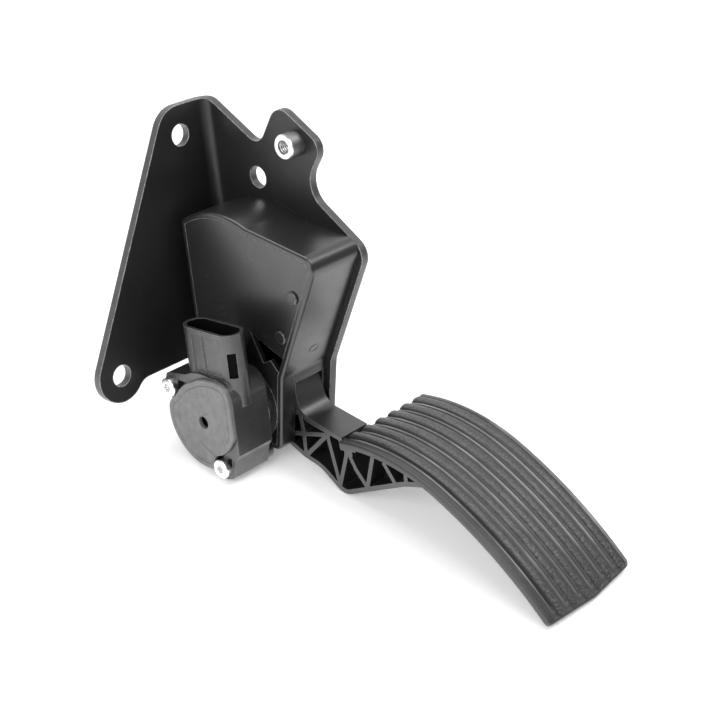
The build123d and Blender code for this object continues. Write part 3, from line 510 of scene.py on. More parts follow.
FINISHES: dict[str, Finish] = {
    # The bracket's edges carry a strong painted highlight, partly wear, and its cut faces are lightened partly as bare
    # metal and partly as a painted highlight.
    "bracket_paint": SheetFinish(
        "black_powder_coat", (0.007, 0.007, 0.0072), (0.011, 0.011, 0.0112), 0.38, 0.03, grain=0.5 * MM,
        relief=0.006 * MM, edge_round=1.2 * MM, edge_highlight_wear_colour=grey(0.75), edge_highlight_wear_share=1.0, edge_spread=0.95 * MM,
    ),
    "zinc_steel": Finish(
        "bright_zinc", grey(0.72), grey(0.86), 0.3, 0.05, metallic=1.0, grain=0.25 * MM, relief=0.006 * MM,
        mottle=2.0 * MM, edge_round=0.2 * MM, edge_highlight_wear_colour=grey(0.9), edge_highlight_wear_share=0.2, edge_spread=0.4 * MM,
    ),
    "housing_plastic": Finish(
        "housing_moulding", (0.006, 0.006, 0.0061), (0.012, 0.012, 0.0122), 0.3, 0.035, specular=0.75,
        grain=0.9 * MM, relief=0.012 * MM, edge_round=0.5 * MM, edge_highlight_wear_share=0.8, edge_highlight_wear_colour=grey(0.3),
        edge_spread=0.5 * MM,
    ),
    "bush_plastic": Finish(
        "acetal", (0.55, 0.53, 0.47), (0.62, 0.6, 0.54), 0.4, 0.05, edge_highlight_wear_colour=(0.7, 0.68, 0.62),
    ),
    "sensor_plastic": SocketFinish(
        "glass_filled_moulding", (0.01, 0.01, 0.0102), (0.034, 0.034, 0.0345), 0.33, 0.08, specular=0.85,
        grain=0.4 * MM, relief=0.025 * MM, mottle=6.0 * MM, edge_round=0.35 * MM, edge_highlight_wear_share=0.7,
        edge_highlight_wear_colour=grey(0.25), edge_spread=0.5 * MM,
    ),
    "cover_plastic": Finish(
        "cover_moulding", (0.085, 0.085, 0.086), (0.15, 0.15, 0.151), 0.38, 0.05, mottle=4.5 * MM,
        grain=0.3 * MM, relief=0.012 * MM, edge_round=0.3 * MM, edge_highlight_wear_colour=grey(0.32), edge_highlight_wear_share=0.4,
        edge_spread=0.5 * MM,
    ),
    "board_laminate": Finish(
        "green_laminate", (0.005, 0.028, 0.011), (0.009, 0.04, 0.016), 0.5, 0.05, edge_highlight_wear_colour=(0.1, 0.12, 0.07),
    ),
    "pin_brass": Finish(
        "tinned_brass", (0.66, 0.55, 0.32), (0.78, 0.66, 0.42), 0.28, 0.05, metallic=1.0, edge_round=0.1 * MM,
        edge_highlight_wear_colour=(0.85, 0.8, 0.6),
    ),
    "seal_rubber": Finish("seal_rubber", grey(0.025), grey(0.035), 0.6, 0.06, edge_highlight_wear_share=0.1),
    "spring_steel": Finish(
        "spring_wire", (0.42, 0.42, 0.43), (0.55, 0.55, 0.56), 0.3, 0.06, metallic=1.0, mottle=3.0 * MM,
        edge_round=0.1 * MM, edge_highlight_wear_colour=grey(0.7),
    ),
    "arm_plastic": Finish(
        "arm_moulding", (0.008, 0.008, 0.0082), (0.014, 0.014, 0.0143), 0.32, 0.05, specular=0.9,
        edge_highlight_wear_share=0.4, edge_highlight_wear_colour=grey(0.2), edge_spread=0.6 * MM,
    ),
    "tread_rubber": TreadFinish(
        "tread_rubber", (0.02, 0.02, 0.0203), (0.03, 0.03, 0.0304), 0.42, 0.05, specular=0.6,
        grain=0.3 * MM, relief=0.012 * MM, mottle=14.0 * MM, edge_round=0.2 * MM, edge_highlight_wear_share=0.12,
        edge_highlight_wear_colour=grey(0.3), edge_spread=0.3 * MM,
    ),
}


@dataclass
class FrameDresser:
    """Gives every CAD node the finish of its slot, or its own where it has one."""

    materials: dict[str, Material] = field(default_factory=dict)

    def material(self, slot: str) -> Material:
        """Return a slot's material, made on first use.

        Args:
            slot: Name of the record's slot.

        Returns:
            The material.
        """
        if slot not in self.materials:
            self.materials[slot] = FINISHES[slot].material()
        return self.materials[slot]

    def dress(self) -> int:
        """Put the materials on the CAD nodes.

        Returns:
            How many nodes were dressed.
        """
        subparts = frame["record"]["subparts"]
        for subpart in subparts:
            node = frame["nodes"][subpart["node"]]
            material = self.material(subpart["material_slot"])
            if subpart["node"] in NODE_FINISHES:
                material = NODE_FINISHES[subpart["node"]].material()
            if not node.material_slots:
                node.data.materials.append(material)
            for holder in node.material_slots:
                holder.material = material
        return len(subparts)


def mesh_object(name: str, verts: np.ndarray, faces: Faces, material: Material) -> Object:
    """Make an object at the origin from points and faces.

    Args:
        name: Name of the object.
        verts: Points, in metres, in the frame.
        faces: Tuples of point numbers.
        material: Its material.

    Returns:
        The new object, in the scene.
    """
    mesh = bpy.data.meshes.new(name)
    mesh.from_pydata([tuple(vert) for vert in verts], [], faces)
    mesh.materials.append(material)
    mesh.update()
    piece = bpy.data.objects.new(name, mesh)
    bpy.context.scene.collection.objects.link(piece)
    return piece


def ring_faces(rings: int, count: int, closed: bool) -> Faces:
    """Join rings of points into a tube.

    Args:
        rings: How many rings there are.
        count: Points in each ring.
        closed: Whether the last ring joins the first one.

    Returns:
        Tuples of point numbers.
    """
    faces: Faces = []
    for ring in range(rings if closed else rings - 1):
        low = ring * count
        high = (ring + 1) % rings * count
        for number in range(count):
            after = (number + 1) % count
            faces.append((low + number, low + after, high + after, high + number))
    return faces


def round_off(distance: np.ndarray, radius: np.ndarray | float) -> np.ndarray:
    """Return how far a quarter round draws back at distances from its edge."""
    inside = np.clip(radius - distance, 0, radius)
    return radius - np.sqrt(np.maximum(radius**2 - inside**2, 0))


def clean(piece: Object) -> None:
    """Merge a piece's doubles, split its long faces, turn its faces outwards and shade them smooth.

    Args:
        piece: The piece.
    """
    work = bmesh.new()
    work.from_mesh(piece.data)
    bmesh.ops.remove_doubles(work, verts=work.verts, dist=MERGE_DISTANCE)
    bmesh.ops.triangulate(work, faces=[face for face in work.faces if len(face.verts) > 4])
    bmesh.ops.recalc_face_normals(work, faces=work.faces)
    for face in work.faces:
        face.smooth = True
    work.to_mesh(piece.data)
    work.free()


class NodeTree(NodeSheet):
    """A Geometry Nodes tree with named inputs, which is baked into a plain mesh or stays on its object."""

    def __init__(self, name: str, sizes: dict[str, float], material: Material) -> None:
        """Start a tree.

        Args:
            name: Name of the tree.
            sizes: Values of its named inputs.
            material: Material that it ends with.
        """
        super().__init__(bpy.data.node_groups.new(name, "GeometryNodeTree"))
        self.sizes = sizes
        self.material = material
        for side in ("INPUT", "OUTPUT"):
            self.tree.interface.new_socket("Geometry", in_out=side, socket_type="NodeSocketGeometry")
        self.keys: dict[str, str] = {}
        for label in sizes:
            socket = self.tree.interface.new_socket(label, in_out="INPUT", socket_type="NodeSocketFloat")
            self.keys[label] = socket.identifier
        self.start = self.tree.nodes.new("NodeGroupInput")
        self.end = self.tree.nodes.new("NodeGroupOutput")

    def size(self, label: str) -> Socket:
        """Return the socket of a named input."""
        return self.start.outputs[label]

    def push(self, direction: object, distance: Socket) -> Socket:
        """Move the points that the tree starts from.

        Args:
            direction: A direction or its socket.
            distance: Socket of how far.

        Returns:
            The moved geometry.
        """
        shift = self.add("ShaderNodeVectorMath", {"operation": "SCALE"}, Scale=distance)
        self.feed(shift.inputs[0], direction)
        start = self.start.outputs[0]
        return self.add("GeometryNodeSetPosition", Geometry=start, Offset=shift.outputs[0]).outputs[0]

    def close(self, geometry: Socket) -> None:
        """End the tree in plain geometry with its material.

        Args:
            geometry: What the tree made.
        """
        real = self.add("GeometryNodeRealizeInstances", Geometry=geometry)
        dressed = self.add("GeometryNodeSetMaterial", Geometry=real.outputs[0], Material=self.material)
        self.feed(self.end.inputs[0], dressed.outputs[0])

    def attach(self, carrier: Object) -> bpy.types.Modifier:
        """Put the tree on an object, with its inputs set.

        Args:
            carrier: The object that the tree starts from.

        Returns:
            The modifier that holds it.
        """
        modifier = carrier.modifiers.new(self.tree.name, "NODES")
        modifier.node_group = self.tree
        for label, value in self.sizes.items():
            modifier[self.keys[label]] = value
        return modifier

    def bake(self, carrier: Object) -> None:
        """Turn the tree's result on an object into that object's plain mesh.

        Args:
            carrier: The object that the tree starts from.
        """
        modifier = self.attach(carrier)
        graph = bpy.context.evaluated_depsgraph_get()
        mesh = bpy.data.meshes.new_from_object(carrier.evaluated_get(graph), depsgraph=graph)
        carrier.modifiers.remove(modifier)
        carrier.data = mesh


@dataclass
class TreadleCurve:
    """The treadle's upper line, two arcs in the plane of Y and Z."""

    start: tuple[float, float] = (-94.5 * MM, -136.5 * MM)
    start_angle: float = math.radians(-7.3)
    radii: tuple[float, float] = (100.0 * MM, 219.0 * MM)
    lengths: tuple[float, float] = (62.0 * MM, 79.3 * MM)

    def length(self) -> float:
        """Length along the line."""
        return sum(self.lengths)

    def places(self, distance: np.ndarray, depth: np.ndarray) -> tuple[np.ndarray, np.ndarray]:
        """Find points along the line and under it.

        Args:
            distance: Distances along the line.
            depth: Depths under it.

        Returns:
            Their Y and Z.
        """
        first, second = self.radii
        seam = self.start_angle + self.lengths[0] / first
        centre_y = self.start[0] + first * math.sin(self.start_angle)
        centre_z = self.start[1] - first * math.cos(self.start_angle)
        low_y = centre_y + (second - first) * math.sin(seam)
        low_z = centre_z - (second - first) * math.cos(seam)
        upper = distance <= self.lengths[0]
        angle = np.where(upper, self.start_angle + distance / first, seam + (distance - self.lengths[0]) / second)
        radius = np.where(upper, first, second) - depth
        y = np.where(upper, centre_y, low_y) - radius * np.sin(angle)
        z = np.where(upper, centre_z, low_z) + radius * np.cos(angle)
        return y, z


@dataclass
class TreadPattern:
    """The treadle's face: crowned bands, grooves with a small ridge in each, and a plain lower end."""

    width: float = 62.5 * MM
    edge_round: float = 1.0 * MM
    first_groove: float = 5.5 * MM
    pitch: float = 9.4 * MM
    grooves: int = 6
    groove_half: float = 1.8 * MM
    groove_depth: float = 1.4 * MM
    groove_wall: float = 0.3 * MM
    groove_tip: float = 0.15
    groove_deepening: float = 5.0
    groove_shoulder: float = 0.9
    ridge_half: float = 0.95 * MM
    ridge_height: float = 0.8 * MM
    ridge_start: float = 9.0 * MM
    highlight_gain: float = 1.5
    highlight_from: float = 0.2
    crown: float = 0.85 * MM
    crown_power: float = 2.4
    stipple_to: float = 0.9
    stipple_fade: float = 0.12
    near_depth: float = 0.4 * MM
    near_lines: tuple[float, ...] = (1.8 * MM, 2.9 * MM)
    near_line_half: float = 0.28 * MM
    near_line_depth: float = 0.3 * MM
    rim_groove: float = 60.6 * MM
    rim_groove_half: float = 0.5 * MM
    rim_groove_depth: float = 0.7 * MM
    rim_highlight: float = 0.7
    plain_end: float = 2.6 * MM
    point_run: float = 5.0 * MM
    stipple_end: float = 1.8 * MM
    stipple_run: float = 0.6 * MM
    lip_end: float = 1.0 * MM
    lip_run: float = 1.6 * MM
    lip_depth: float = 0.75
    edge_columns: int = 6
    band_columns: int = 17
    rim_columns: int = 7

    def columns(self) -> np.ndarray:
        """Lay out the face's points across the treadle.

        Returns:
            Their distances from the near edge.
        """
        marks: list[float] = list(np.linspace(0, self.edge_round, self.edge_columns))
        last = self.edge_round
        across = self.groove_half
        inner = (
            -1.0 + 0.45 * self.groove_wall / across, -1.0 + self.groove_wall / across,
            -self.ridge_half / across, -0.7 * self.ridge_half / across, -0.35 * self.ridge_half / across, 0.0,
        )
        for number in range(self.grooves):
            middle = self.first_groove + self.pitch * number
            marks += list(np.linspace(last, middle - across, self.band_columns)[1:])
            marks += [middle + across * share for share in inner]
            marks += [middle - across * share for share in inner[-2::-1]]
            last = middle + across
            marks.append(last)
        rim = self.rim_groove
        half = self.rim_groove_half
        marks += list(np.linspace(last, rim - half, self.band_columns)[1:])
        marks += [rim - 0.5 * half, rim, rim + 0.5 * half, rim + half]
        marks += list(np.linspace(rim + half, self.width, self.rim_columns)[1:])
        return np.array(marks)

    def bands(self, across: np.ndarray) -> tuple[np.ndarray, np.ndarray]:
        """Shape the crowned bands.

        Args:
            across: Distances from the near edge.

        Returns:
            Depths under the pad's line, and the stipple's share.
        """
        depth = np.zeros(across.shape)
        band = np.zeros(across.shape)
        crown_half = self.pitch / 2 - self.groove_half
        for centre in self.first_groove + self.pitch * np.arange(self.grooves) + self.pitch / 2:
            offset = np.abs(across - centre) / crown_half
            on_crown = offset <= 1.0
            depth = np.where(on_crown, self.crown * np.clip(offset, 0, 1) ** self.crown_power, depth)
            band = np.where(on_crown, np.clip((self.stipple_to - offset) / self.stipple_fade, 0, 1), band)
        return depth, band

    def relief(
        self, across: np.ndarray, along: np.ndarray, to_end: np.ndarray
    ) -> tuple[np.ndarray, np.ndarray]:
        """Shape the whole face.

        Args:
            across: Distances from the near edge.
            along: Distances from the upper end.
            to_end: Distances to the lower end.

        Returns:
            Depths under the pad's line, and the stipple's share, negative where a highlight is painted on the ridges
            and the far rim.
        """
        open_share = np.clip((to_end - self.plain_end) / self.point_run, 0.0, 1.0)
        begun = np.clip(along / self.ridge_start, 0, 1)
        half = self.groove_half * (self.groove_tip + (1 - self.groove_tip) * open_share)
        depth, band = self.bands(across)
        for centre in self.first_groove + self.pitch * np.arange(self.grooves):
            offset = np.abs(across - centre)
            wall = np.clip((half - offset) / self.groove_wall, 0, 1)
            rise = self.ridge_height * begun
            floor = self.groove_depth - rise * np.clip(1 - (offset / self.ridge_half) ** 2, 0, 1)
            cut = self.crown + (floor - self.crown) * wall * np.clip(open_share * self.groove_deepening, 0, 1)
            # Share of the painted highlight along each ridge's crest.
            highlit = np.clip(self.highlight_gain * (1 - offset / self.ridge_half) - self.highlight_from, 0, 1) * begun
            band = np.where(offset < self.ridge_half, -highlit * open_share, band)
            groove = np.where(offset < half, cut, self.crown * self.groove_shoulder)
            depth = np.where(offset < self.groove_half, groove, depth)
        depth = np.where(across < self.first_groove - self.groove_half, self.near_depth, depth)
        for line in self.near_lines:
            depth = depth + self.near_line_depth * np.clip(1 - np.abs(across - line) / self.near_line_half, 0, 1)
        offset = np.abs(across - self.rim_groove) / self.rim_groove_half
        depth = depth + self.rim_groove_depth * np.clip(1 - offset, 0, 1) * open_share
        band = band * np.clip((to_end - self.stipple_end) / self.stipple_run, 0, 1)
        # Painted highlight along the far rim.
        band = np.where(across > self.rim_groove - self.rim_groove_half, -self.rim_highlight, band)
        plain = np.clip((to_end - self.lip_end) / self.lip_run, 0, 1)
        return self.crown * self.lip_depth * (1 - plain) + depth * plain, band


@dataclass
class Stipple:
    """Raised wormy stipple on the treadle's bands."""

    worm: float = 0.85 * MM
    height: float = 0.12 * MM
    low: float = 0.47
    high: float = 0.6
    seed: float = 7.0

    def raise_on(self, pad: Object) -> None:
        """Push the pad's bands out where the worms run.

        Args:
            pad: The pad, whose band attribute says where.
        """
        sizes = {"Worm": self.worm, "Height": self.height, "Low": self.low, "High": self.high, "Seed": self.seed}
        tree = NodeTree("tread_stipple", sizes, pad.data.materials[0])
        scale = tree.math("DIVIDE", 1.0, tree.size("Worm"))
        noise = tree.add("ShaderNodeTexNoise", {"noise_dimensions": "4D"}, Scale=scale, W=tree.size("Seed"), Detail=1.0)
        smooth = {"interpolation_type": "SMOOTHSTEP"}
        ends = (tree.size("Low"), tree.size("High"), 0.0, 1.0)
        worms = tree.fill("ShaderNodeMapRange", smooth, noise.outputs[0], *ends).outputs[0]
        marked = tree.add("GeometryNodeInputNamedAttribute", {"data_type": "FLOAT"}, Name="band").outputs[0]
        share = tree.math("MULTIPLY", worms, tree.math("MAXIMUM", marked, 0.0))
        lift = tree.math("MULTIPLY", share, tree.size("Height"))
        moved = tree.push(tree.add("GeometryNodeInputNormal").outputs[0], lift)
        stored = {"data_type": "FLOAT", "domain": "POINT"}
        kept = tree.add("GeometryNodeStoreNamedAttribute", stored, Name="worm", Geometry=moved, Value=share)
        tree.close(kept.outputs[0])
        tree.bake(pad)


@dataclass
class TreadlePad:
    """Rubber pad with its pattern on top and, underneath, the recess that the arm's carrier fills."""

    curve: TreadleCurve = field(default_factory=TreadleCurve)
    pattern: TreadPattern = field(default_factory=TreadPattern)
    near_x: float = -6.2 * MM
    thickness: float = 3.8 * MM
    skin: float = 1.95 * MM
    under_round: float = 1.6 * MM
    under_lip: float = 0.5 * MM
    skirt: float = 2.45 * MM
    end_point: float = 2.2 * MM
    point_share: float = 0.53
    corner_round: float = 2.6 * MM
    upper_corner: float = 0.4
    row_step: float = 0.46 * MM
    end_rows: int = 32
    end_margin: float = 2.0 * MM
    step_share: float = 1e-5

    def rows(self) -> np.ndarray:
        """Lay out the pad's rings.

        Returns:
            Shares of the length that they stand at.
        """
        length = self.curve.length()
        ends = np.linspace(0, self.pattern.edge_round, self.pattern.edge_columns) / length
        run = self.pattern.plain_end + self.pattern.point_run + self.end_margin
        lower = 1.0 - np.linspace(run, 0, self.end_rows) / length
        middle = np.linspace(ends[-1], lower[0], int(length / self.row_step))
        skirt = self.skirt / length
        marks = np.concatenate([ends, middle[1:-1], lower, [skirt, 1 - skirt]])
        return np.unique(np.round(marks, 6))

    def stations(self) -> list[tuple[float, bool]]:
        """Pair every ring's share with whether the carrier's recess is open there.

        Returns:
            The pairs, two of them where the recess begins and where it ends.
        """
        skirt = self.skirt / self.curve.length()
        stations: list[tuple[float, bool]] = []
        for share in self.rows():
            if min(abs(share - skirt), abs(share - 1 + skirt)) < self.step_share:
                opening = share < 0.5
                stations += [(float(share), not opening), (float(share), opening)]
            else:
                inside = skirt - self.step_share < share < 1 - skirt + self.step_share
                stations.append((float(share), inside))
        return stations

    def ring(self, columns: np.ndarray, share: float, hollow: bool) -> tuple[np.ndarray, np.ndarray]:
        """Make one ring, over the pad's face and back under it.

        Args:
            columns: Distances of the face's points from the near edge.
            share: Share of the length that the ring stands at.
            hollow: Whether the recess is open there.

        Returns:
            The ring's points, and the stipple's share at each.
        """
        width, wall, lip, side = self.pattern.width, self.thickness, self.under_lip, self.under_round
        roof = self.skin if hollow else wall
        far = width - self.skirt
        under_x = np.array([width, width, width - lip, far, far, self.skirt, self.skirt, lip, 0.0, 0.0])
        under_depth = np.array([side, wall - lip, wall, wall, roof, roof, wall, wall, wall - lip, side])
        across = np.concatenate([columns, under_x])
        tip = self.point_share * width
        reach = self.curve.length() - self.end_point * (np.abs(across - tip) / tip)
        along = share * reach
        to_end = reach - along
        face = slice(len(columns))
        depth, band = self.pattern.relief(columns, along[face], to_end[face])
        for distance in (np.minimum(columns, width - columns), np.minimum(along[face], to_end[face])):
            depth = depth + round_off(distance, self.pattern.edge_round)
        corner = np.where(to_end < along, self.corner_round, self.corner_round * self.upper_corner)
        squeeze = round_off(np.minimum(along, to_end), corner)
        middle = width / 2
        x = self.near_x + middle + (across - middle) * (1 - squeeze / middle)
        y, z = self.curve.places(along, np.concatenate([depth, under_depth]))
        return np.stack([x, y, z], axis=1), np.concatenate([band, np.zeros(len(under_x))])

    def build(self, material: Material) -> Object:
        """Make the pad's closed mesh, with its stipple.

        Args:
            material: The rubber.

        Returns:
            The pad.
        """
        columns = self.pattern.columns()
        rings = [self.ring(columns, share, hollow) for share, hollow in self.stations()]
        count = len(rings[0][0])
        last = (len(rings) - 1) * count
        faces = ring_faces(len(rings), count, closed=False)
        faces += [tuple(range(count))[::-1], tuple(range(last, last + count))]
        pad = mesh_object("treadle_pad_rubber", np.concatenate([points for points, _ in rings]), faces, material)
        shares = pad.data.attributes.new("band", "FLOAT", "POINT")
        shares.data.foreach_set("value", np.concatenate([band for _, band in rings]).astype(np.float32))
        clean(pad)
        Stipple().raise_on(pad)
        pad.data.set_sharp_from_angle(angle=SHARP_ANGLE)
        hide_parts("treadle_pad")
        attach(pad, Body.PEDAL.value)
        return pad


@dataclass
class SensorLid:
    """Sensor cover: an eccentric disc cut round both screws, with an edge line and two sunk fields.

    The outline is pairs of an angle in degrees and a radius in mm, and the fields' corners are in mm, all
    measured from the pivot.
    """

    pivot: tuple[float, float] = (-42.0 * MM, -125.5 * MM)
    thickness: float = 2.0 * MM
    hole_r: float = 3.1 * MM
    hole_chamfer: tuple[float, float] = (0.2 * MM, 0.3 * MM)
    hole_land: float = 0.4 * MM
    line_inset: float = 3.0 * MM
    line_half: float = 0.45 * MM
    line_gain: float = 1.3
    relief: float = 0.35 * MM
    soft: float = 0.22 * MM
    edge_round: float = 0.5 * MM
    edge_leans: tuple[float, ...] = (0.35, 0.7, 1.0)
    angles: int = 420
    rings: int = 76
    smoothing: int = 11
    outline_mm: tuple[tuple[float, float], ...] = (
        (0, 24.4), (8, 24.3), (13, 23.9), (18, 23.0), (23, 21.7), (30, 20.7), (38, 20.3), (48, 20.3), (58, 20.3),
        (68, 20.4), (79, 20.9), (91, 22.2), (105, 23.9), (117, 25.9), (125, 27.2), (130, 27.6), (134, 27.2),
        (140, 25.8), (146, 24.2), (154, 22.4), (165, 20.9), (176, 20.3), (188, 20.4), (196, 20.1), (204, 19.4),
        (214, 18.8), (228, 18.3), (236, 18.0), (243, 17.6), (249, 17.4), (254, 18.2), (257, 19.6), (259.5, 21.4),
        (261.5, 23.2), (264, 24.2), (268, 24.4), (300, 24.4), (330, 24.4), (360, 24.4),
    )
    fields_mm: tuple[tuple[tuple[float, float], ...], ...] = (
        ((17.5, 4.6), (7.0, 12.2), (-6.5, 16.4), (-8.1, 13.7), (-4.4, 5.5), (8.7, 0.2), (17.8, -5.3)),
        ((5.1, -10.7), (-13.3, -2.7), (-13.7, -11.0), (-4.9, -17.0)),
    )

    def reach(self, angle: np.ndarray) -> np.ndarray:
        """Find the outline's radius, smoothed over its marks.

        Args:
            angle: Angles in degrees.

        Returns:
            The radii, in metres.
        """
        marks = np.array(self.outline_mm)
        steps = np.linspace(0, 360, 1441)
        coarse = np.interp(steps, marks[:, 0], marks[:, 1])
        kernel = np.hanning(self.smoothing)[1:-1]
        margin = 2 * (self.smoothing - 1)
        wrapped = np.concatenate([coarse[-margin - 1 : -1], coarse, coarse[1 : margin + 1]])
        smooth = np.convolve(wrapped, kernel / kernel.sum(), "same")[margin:-margin]
        return np.interp(angle, steps, smooth) * MM

    def sunk(self, y: np.ndarray, z: np.ndarray) -> np.ndarray:
        """Find how deep the fields are at points measured from the pivot.

        Args:
            y: Their Y.
            z: Their Z.

        Returns:
            Shares of the full depth, 0 to 1.
        """
        share = np.zeros(y.shape)
        for corners in self.fields_mm:
            points = np.array(corners) * MM
            inside = np.zeros(y.shape, bool)
            near = np.full(y.shape, 1.0)
            for first, second in zip(points, np.roll(points, -1, axis=0)):
                run = second - first
                along = np.clip(((y - first[0]) * run[0] + (z - first[1]) * run[1]) / (run @ run), 0, 1)
                near = np.minimum(near, np.hypot(y - first[0] - along * run[0], z - first[1] - along * run[1]))
                crosses = (first[1] > z) != (second[1] > z)
                rise = run[1] if run[1] else 1.0
                inside ^= crosses & (y < first[0] + (z - first[1]) / rise * run[0])
            share = np.maximum(share, np.where(inside, np.clip(near / self.soft, 0, 1), 0))
        return share

    def profile(self, face_x: float, reach: np.ndarray, turn: np.ndarray) -> list[tuple]:
        """Lay out the lid's section, from the hole's back over the face to the edge's back.

        Args:
            face_x: X of the face.
            reach: The outline's radii.
            turn: Their angles, in radians.

        Returns:
            Pairs of a radius and an X, each one number or one for every angle.
        """
        back_x = face_x + self.thickness
        hole, land, rounding = self.hole_r, self.hole_land, self.edge_round
        chamfer, chamfer_depth = self.hole_chamfer
        profile = [(hole, back_x), (hole, face_x + chamfer_depth), (hole + chamfer, face_x)]
        for share in np.linspace(0, 1, self.rings):
            radius = hole + land + (reach - rounding - hole - land) * share
            sunk = self.sunk(radius * np.cos(turn), radius * np.sin(turn))
            line = np.clip(self.line_gain * (1 - np.abs(reach - radius - self.line_inset) / self.line_half), 0, 1)
            profile.append((radius, face_x + self.relief * np.maximum(sunk, line)))
        for lean in self.edge_leans:
            bend = lean * math.pi / 2
            profile.append((reach - rounding * (1 - math.sin(bend)), face_x + rounding * (1 - math.cos(bend))))
        profile.append((reach, back_x))
        return profile

    def build(self, material: Material) -> Object:
        """Make the lid's closed mesh.

        Args:
            material: The cover's moulding.

        Returns:
            The lid.
        """
        low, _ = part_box("sensor_cover")
        degrees = np.arange(self.angles) * 360.0 / self.angles
        turn = np.radians(degrees)
        rows = []
        for radius, x in self.profile(low[0], self.reach(degrees), turn):
            y = self.pivot[0] + radius * np.cos(turn)
            z = self.pivot[1] + radius * np.sin(turn)
            rows.append(np.stack(np.broadcast_arrays(x, y, z), axis=1))
        faces = ring_faces(len(rows), self.angles, closed=True)
        lid = mesh_object("sensor_lid", np.concatenate(rows), faces, material)
        clean(lid)
        lid.data.set_sharp_from_angle(angle=SHARP_ANGLE)
        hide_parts("sensor_cover")
        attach(lid, Body.MOUNT.value)
        return lid


@dataclass
class MouldMark:
    """Small oval ring left by an ejector on the case's front."""

    centre: tuple[float, float] = (5.0 * MM, -97.4 * MM)
    start_y: float = -200.0 * MM
    radii: tuple[float, float] = (3.0 * MM, 1.9 * MM)
    wire_r: float = 0.35 * MM
    proud: float = 0.2 * MM
    steps: int = 48
    sides: int = 10

    def build(self, shell: Object, material: Material) -> Object:
        """Lay the ring on the case.

        Args:
            shell: The case's CAD object.
            material: The case's moulding.

        Returns:
            The ring.
        """
        start = Vector((self.centre[0], self.start_y, self.centre[1]))
        found, point, normal, _ = shell.ray_cast(start, Vector((0, 1, 0)))
        if not found:
            raise RuntimeError("no surface under the mould mark")
        across = Vector((1, 0, 0))
        up = normal.cross(across).normalized()
        middle = point + normal * (self.proud - self.wire_r)
        verts = []
        for turn in np.linspace(0, 2 * math.pi, self.steps, endpoint=False):
            spoke = across * (self.radii[0] * math.cos(turn)) + up * (self.radii[1] * math.sin(turn))
            out = spoke.normalized()
            for bend in np.linspace(0, 2 * math.pi, self.sides, endpoint=False):
                verts.append(middle + spoke + (out * math.cos(bend) + normal * math.sin(bend)) * self.wire_r)
        faces = ring_faces(self.steps, self.sides, closed=True)
        ring = mesh_object("mould_mark", np.array(verts), faces, material)
        clean(ring)
        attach(ring, Body.MOUNT.value)
        return ring


@dataclass
class StandoffThread:
    """Thread lines inside the sleeve on the bracket's tab, as a helix of a small ridge."""

    centre: Point = (10.2 * MM, -62.9 * MM, -2.2 * MM)
    length: float = 11.0 * MM
    bore_r: float = 3.4 * MM
    pitch: float = 1.25 * MM
    ridge: float = 0.3 * MM
    inset: float = 0.5 * MM
    turn_points: int = 40
    ridge_sides: int = 6

    def build(self, material: Material) -> Object:
        """Wind the thread.

        Args:
            material: The sleeve's finish.

        Returns:
            The thread.
        """
        sizes = {"Radius": self.bore_r, "Length": self.length, "Pitch": self.pitch, "Ridge": self.ridge}
        tree = NodeTree("thread_helix", sizes, material)
        turns = tree.math("DIVIDE", tree.size("Length"), tree.size("Pitch"))
        spiral = tree.add(
            "GeometryNodeCurveSpiral", Resolution=self.turn_points, Rotations=turns,
            Start_Radius=tree.size("Radius"), End_Radius=tree.size("Radius"), Height=tree.size("Length"),
        )
        section = tree.add(
            "GeometryNodeCurvePrimitiveCircle", Resolution=self.ridge_sides, Radius=tree.size("Ridge"),
        )
        ridge = tree.add(
            "GeometryNodeCurveToMesh", Curve=spiral.outputs[0], Profile_Curve=section.outputs[0], Fill_Caps=True,
        )
        x, y, z = self.centre
        placed = tree.add(
            "GeometryNodeTransform", Geometry=ridge.outputs[0], Rotation=(0.0, math.pi / 2, 0.0),
            Translation=(x + self.inset, y, z),
        )
        tree.close(placed.outputs[0])
        thread = mesh_object("standoff_thread_ridge", np.zeros((1, 3)), [], material)
        tree.bake(thread)
        thread.data.shade_smooth()
        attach(thread, Body.MOUNT.value)
        return thread


@dataclass(frozen=True)
class Lamp:
    """A square soft lamp."""

    name: str
    place: Point
    size: float
    power: float

    def hang(self, aim: Point) -> Object:
        """Hang the lamp so that it looks at a point.

        Args:
            aim: The point.

        Returns:
            The lamp.
        """
        data = bpy.data.lights.new(self.name, "AREA")
        data.shape = "SQUARE"
        data.size = self.size
        data.energy = self.power
        lamp = bpy.data.objects.new(self.name, data)
        back = Vector(self.place) - Vector(aim)
        lamp.matrix_world = Matrix.Translation(self.place) @ back.to_track_quat("Z", "Y").to_matrix().to_4x4()
        bpy.context.scene.collection.objects.link(lamp)
        return lamp


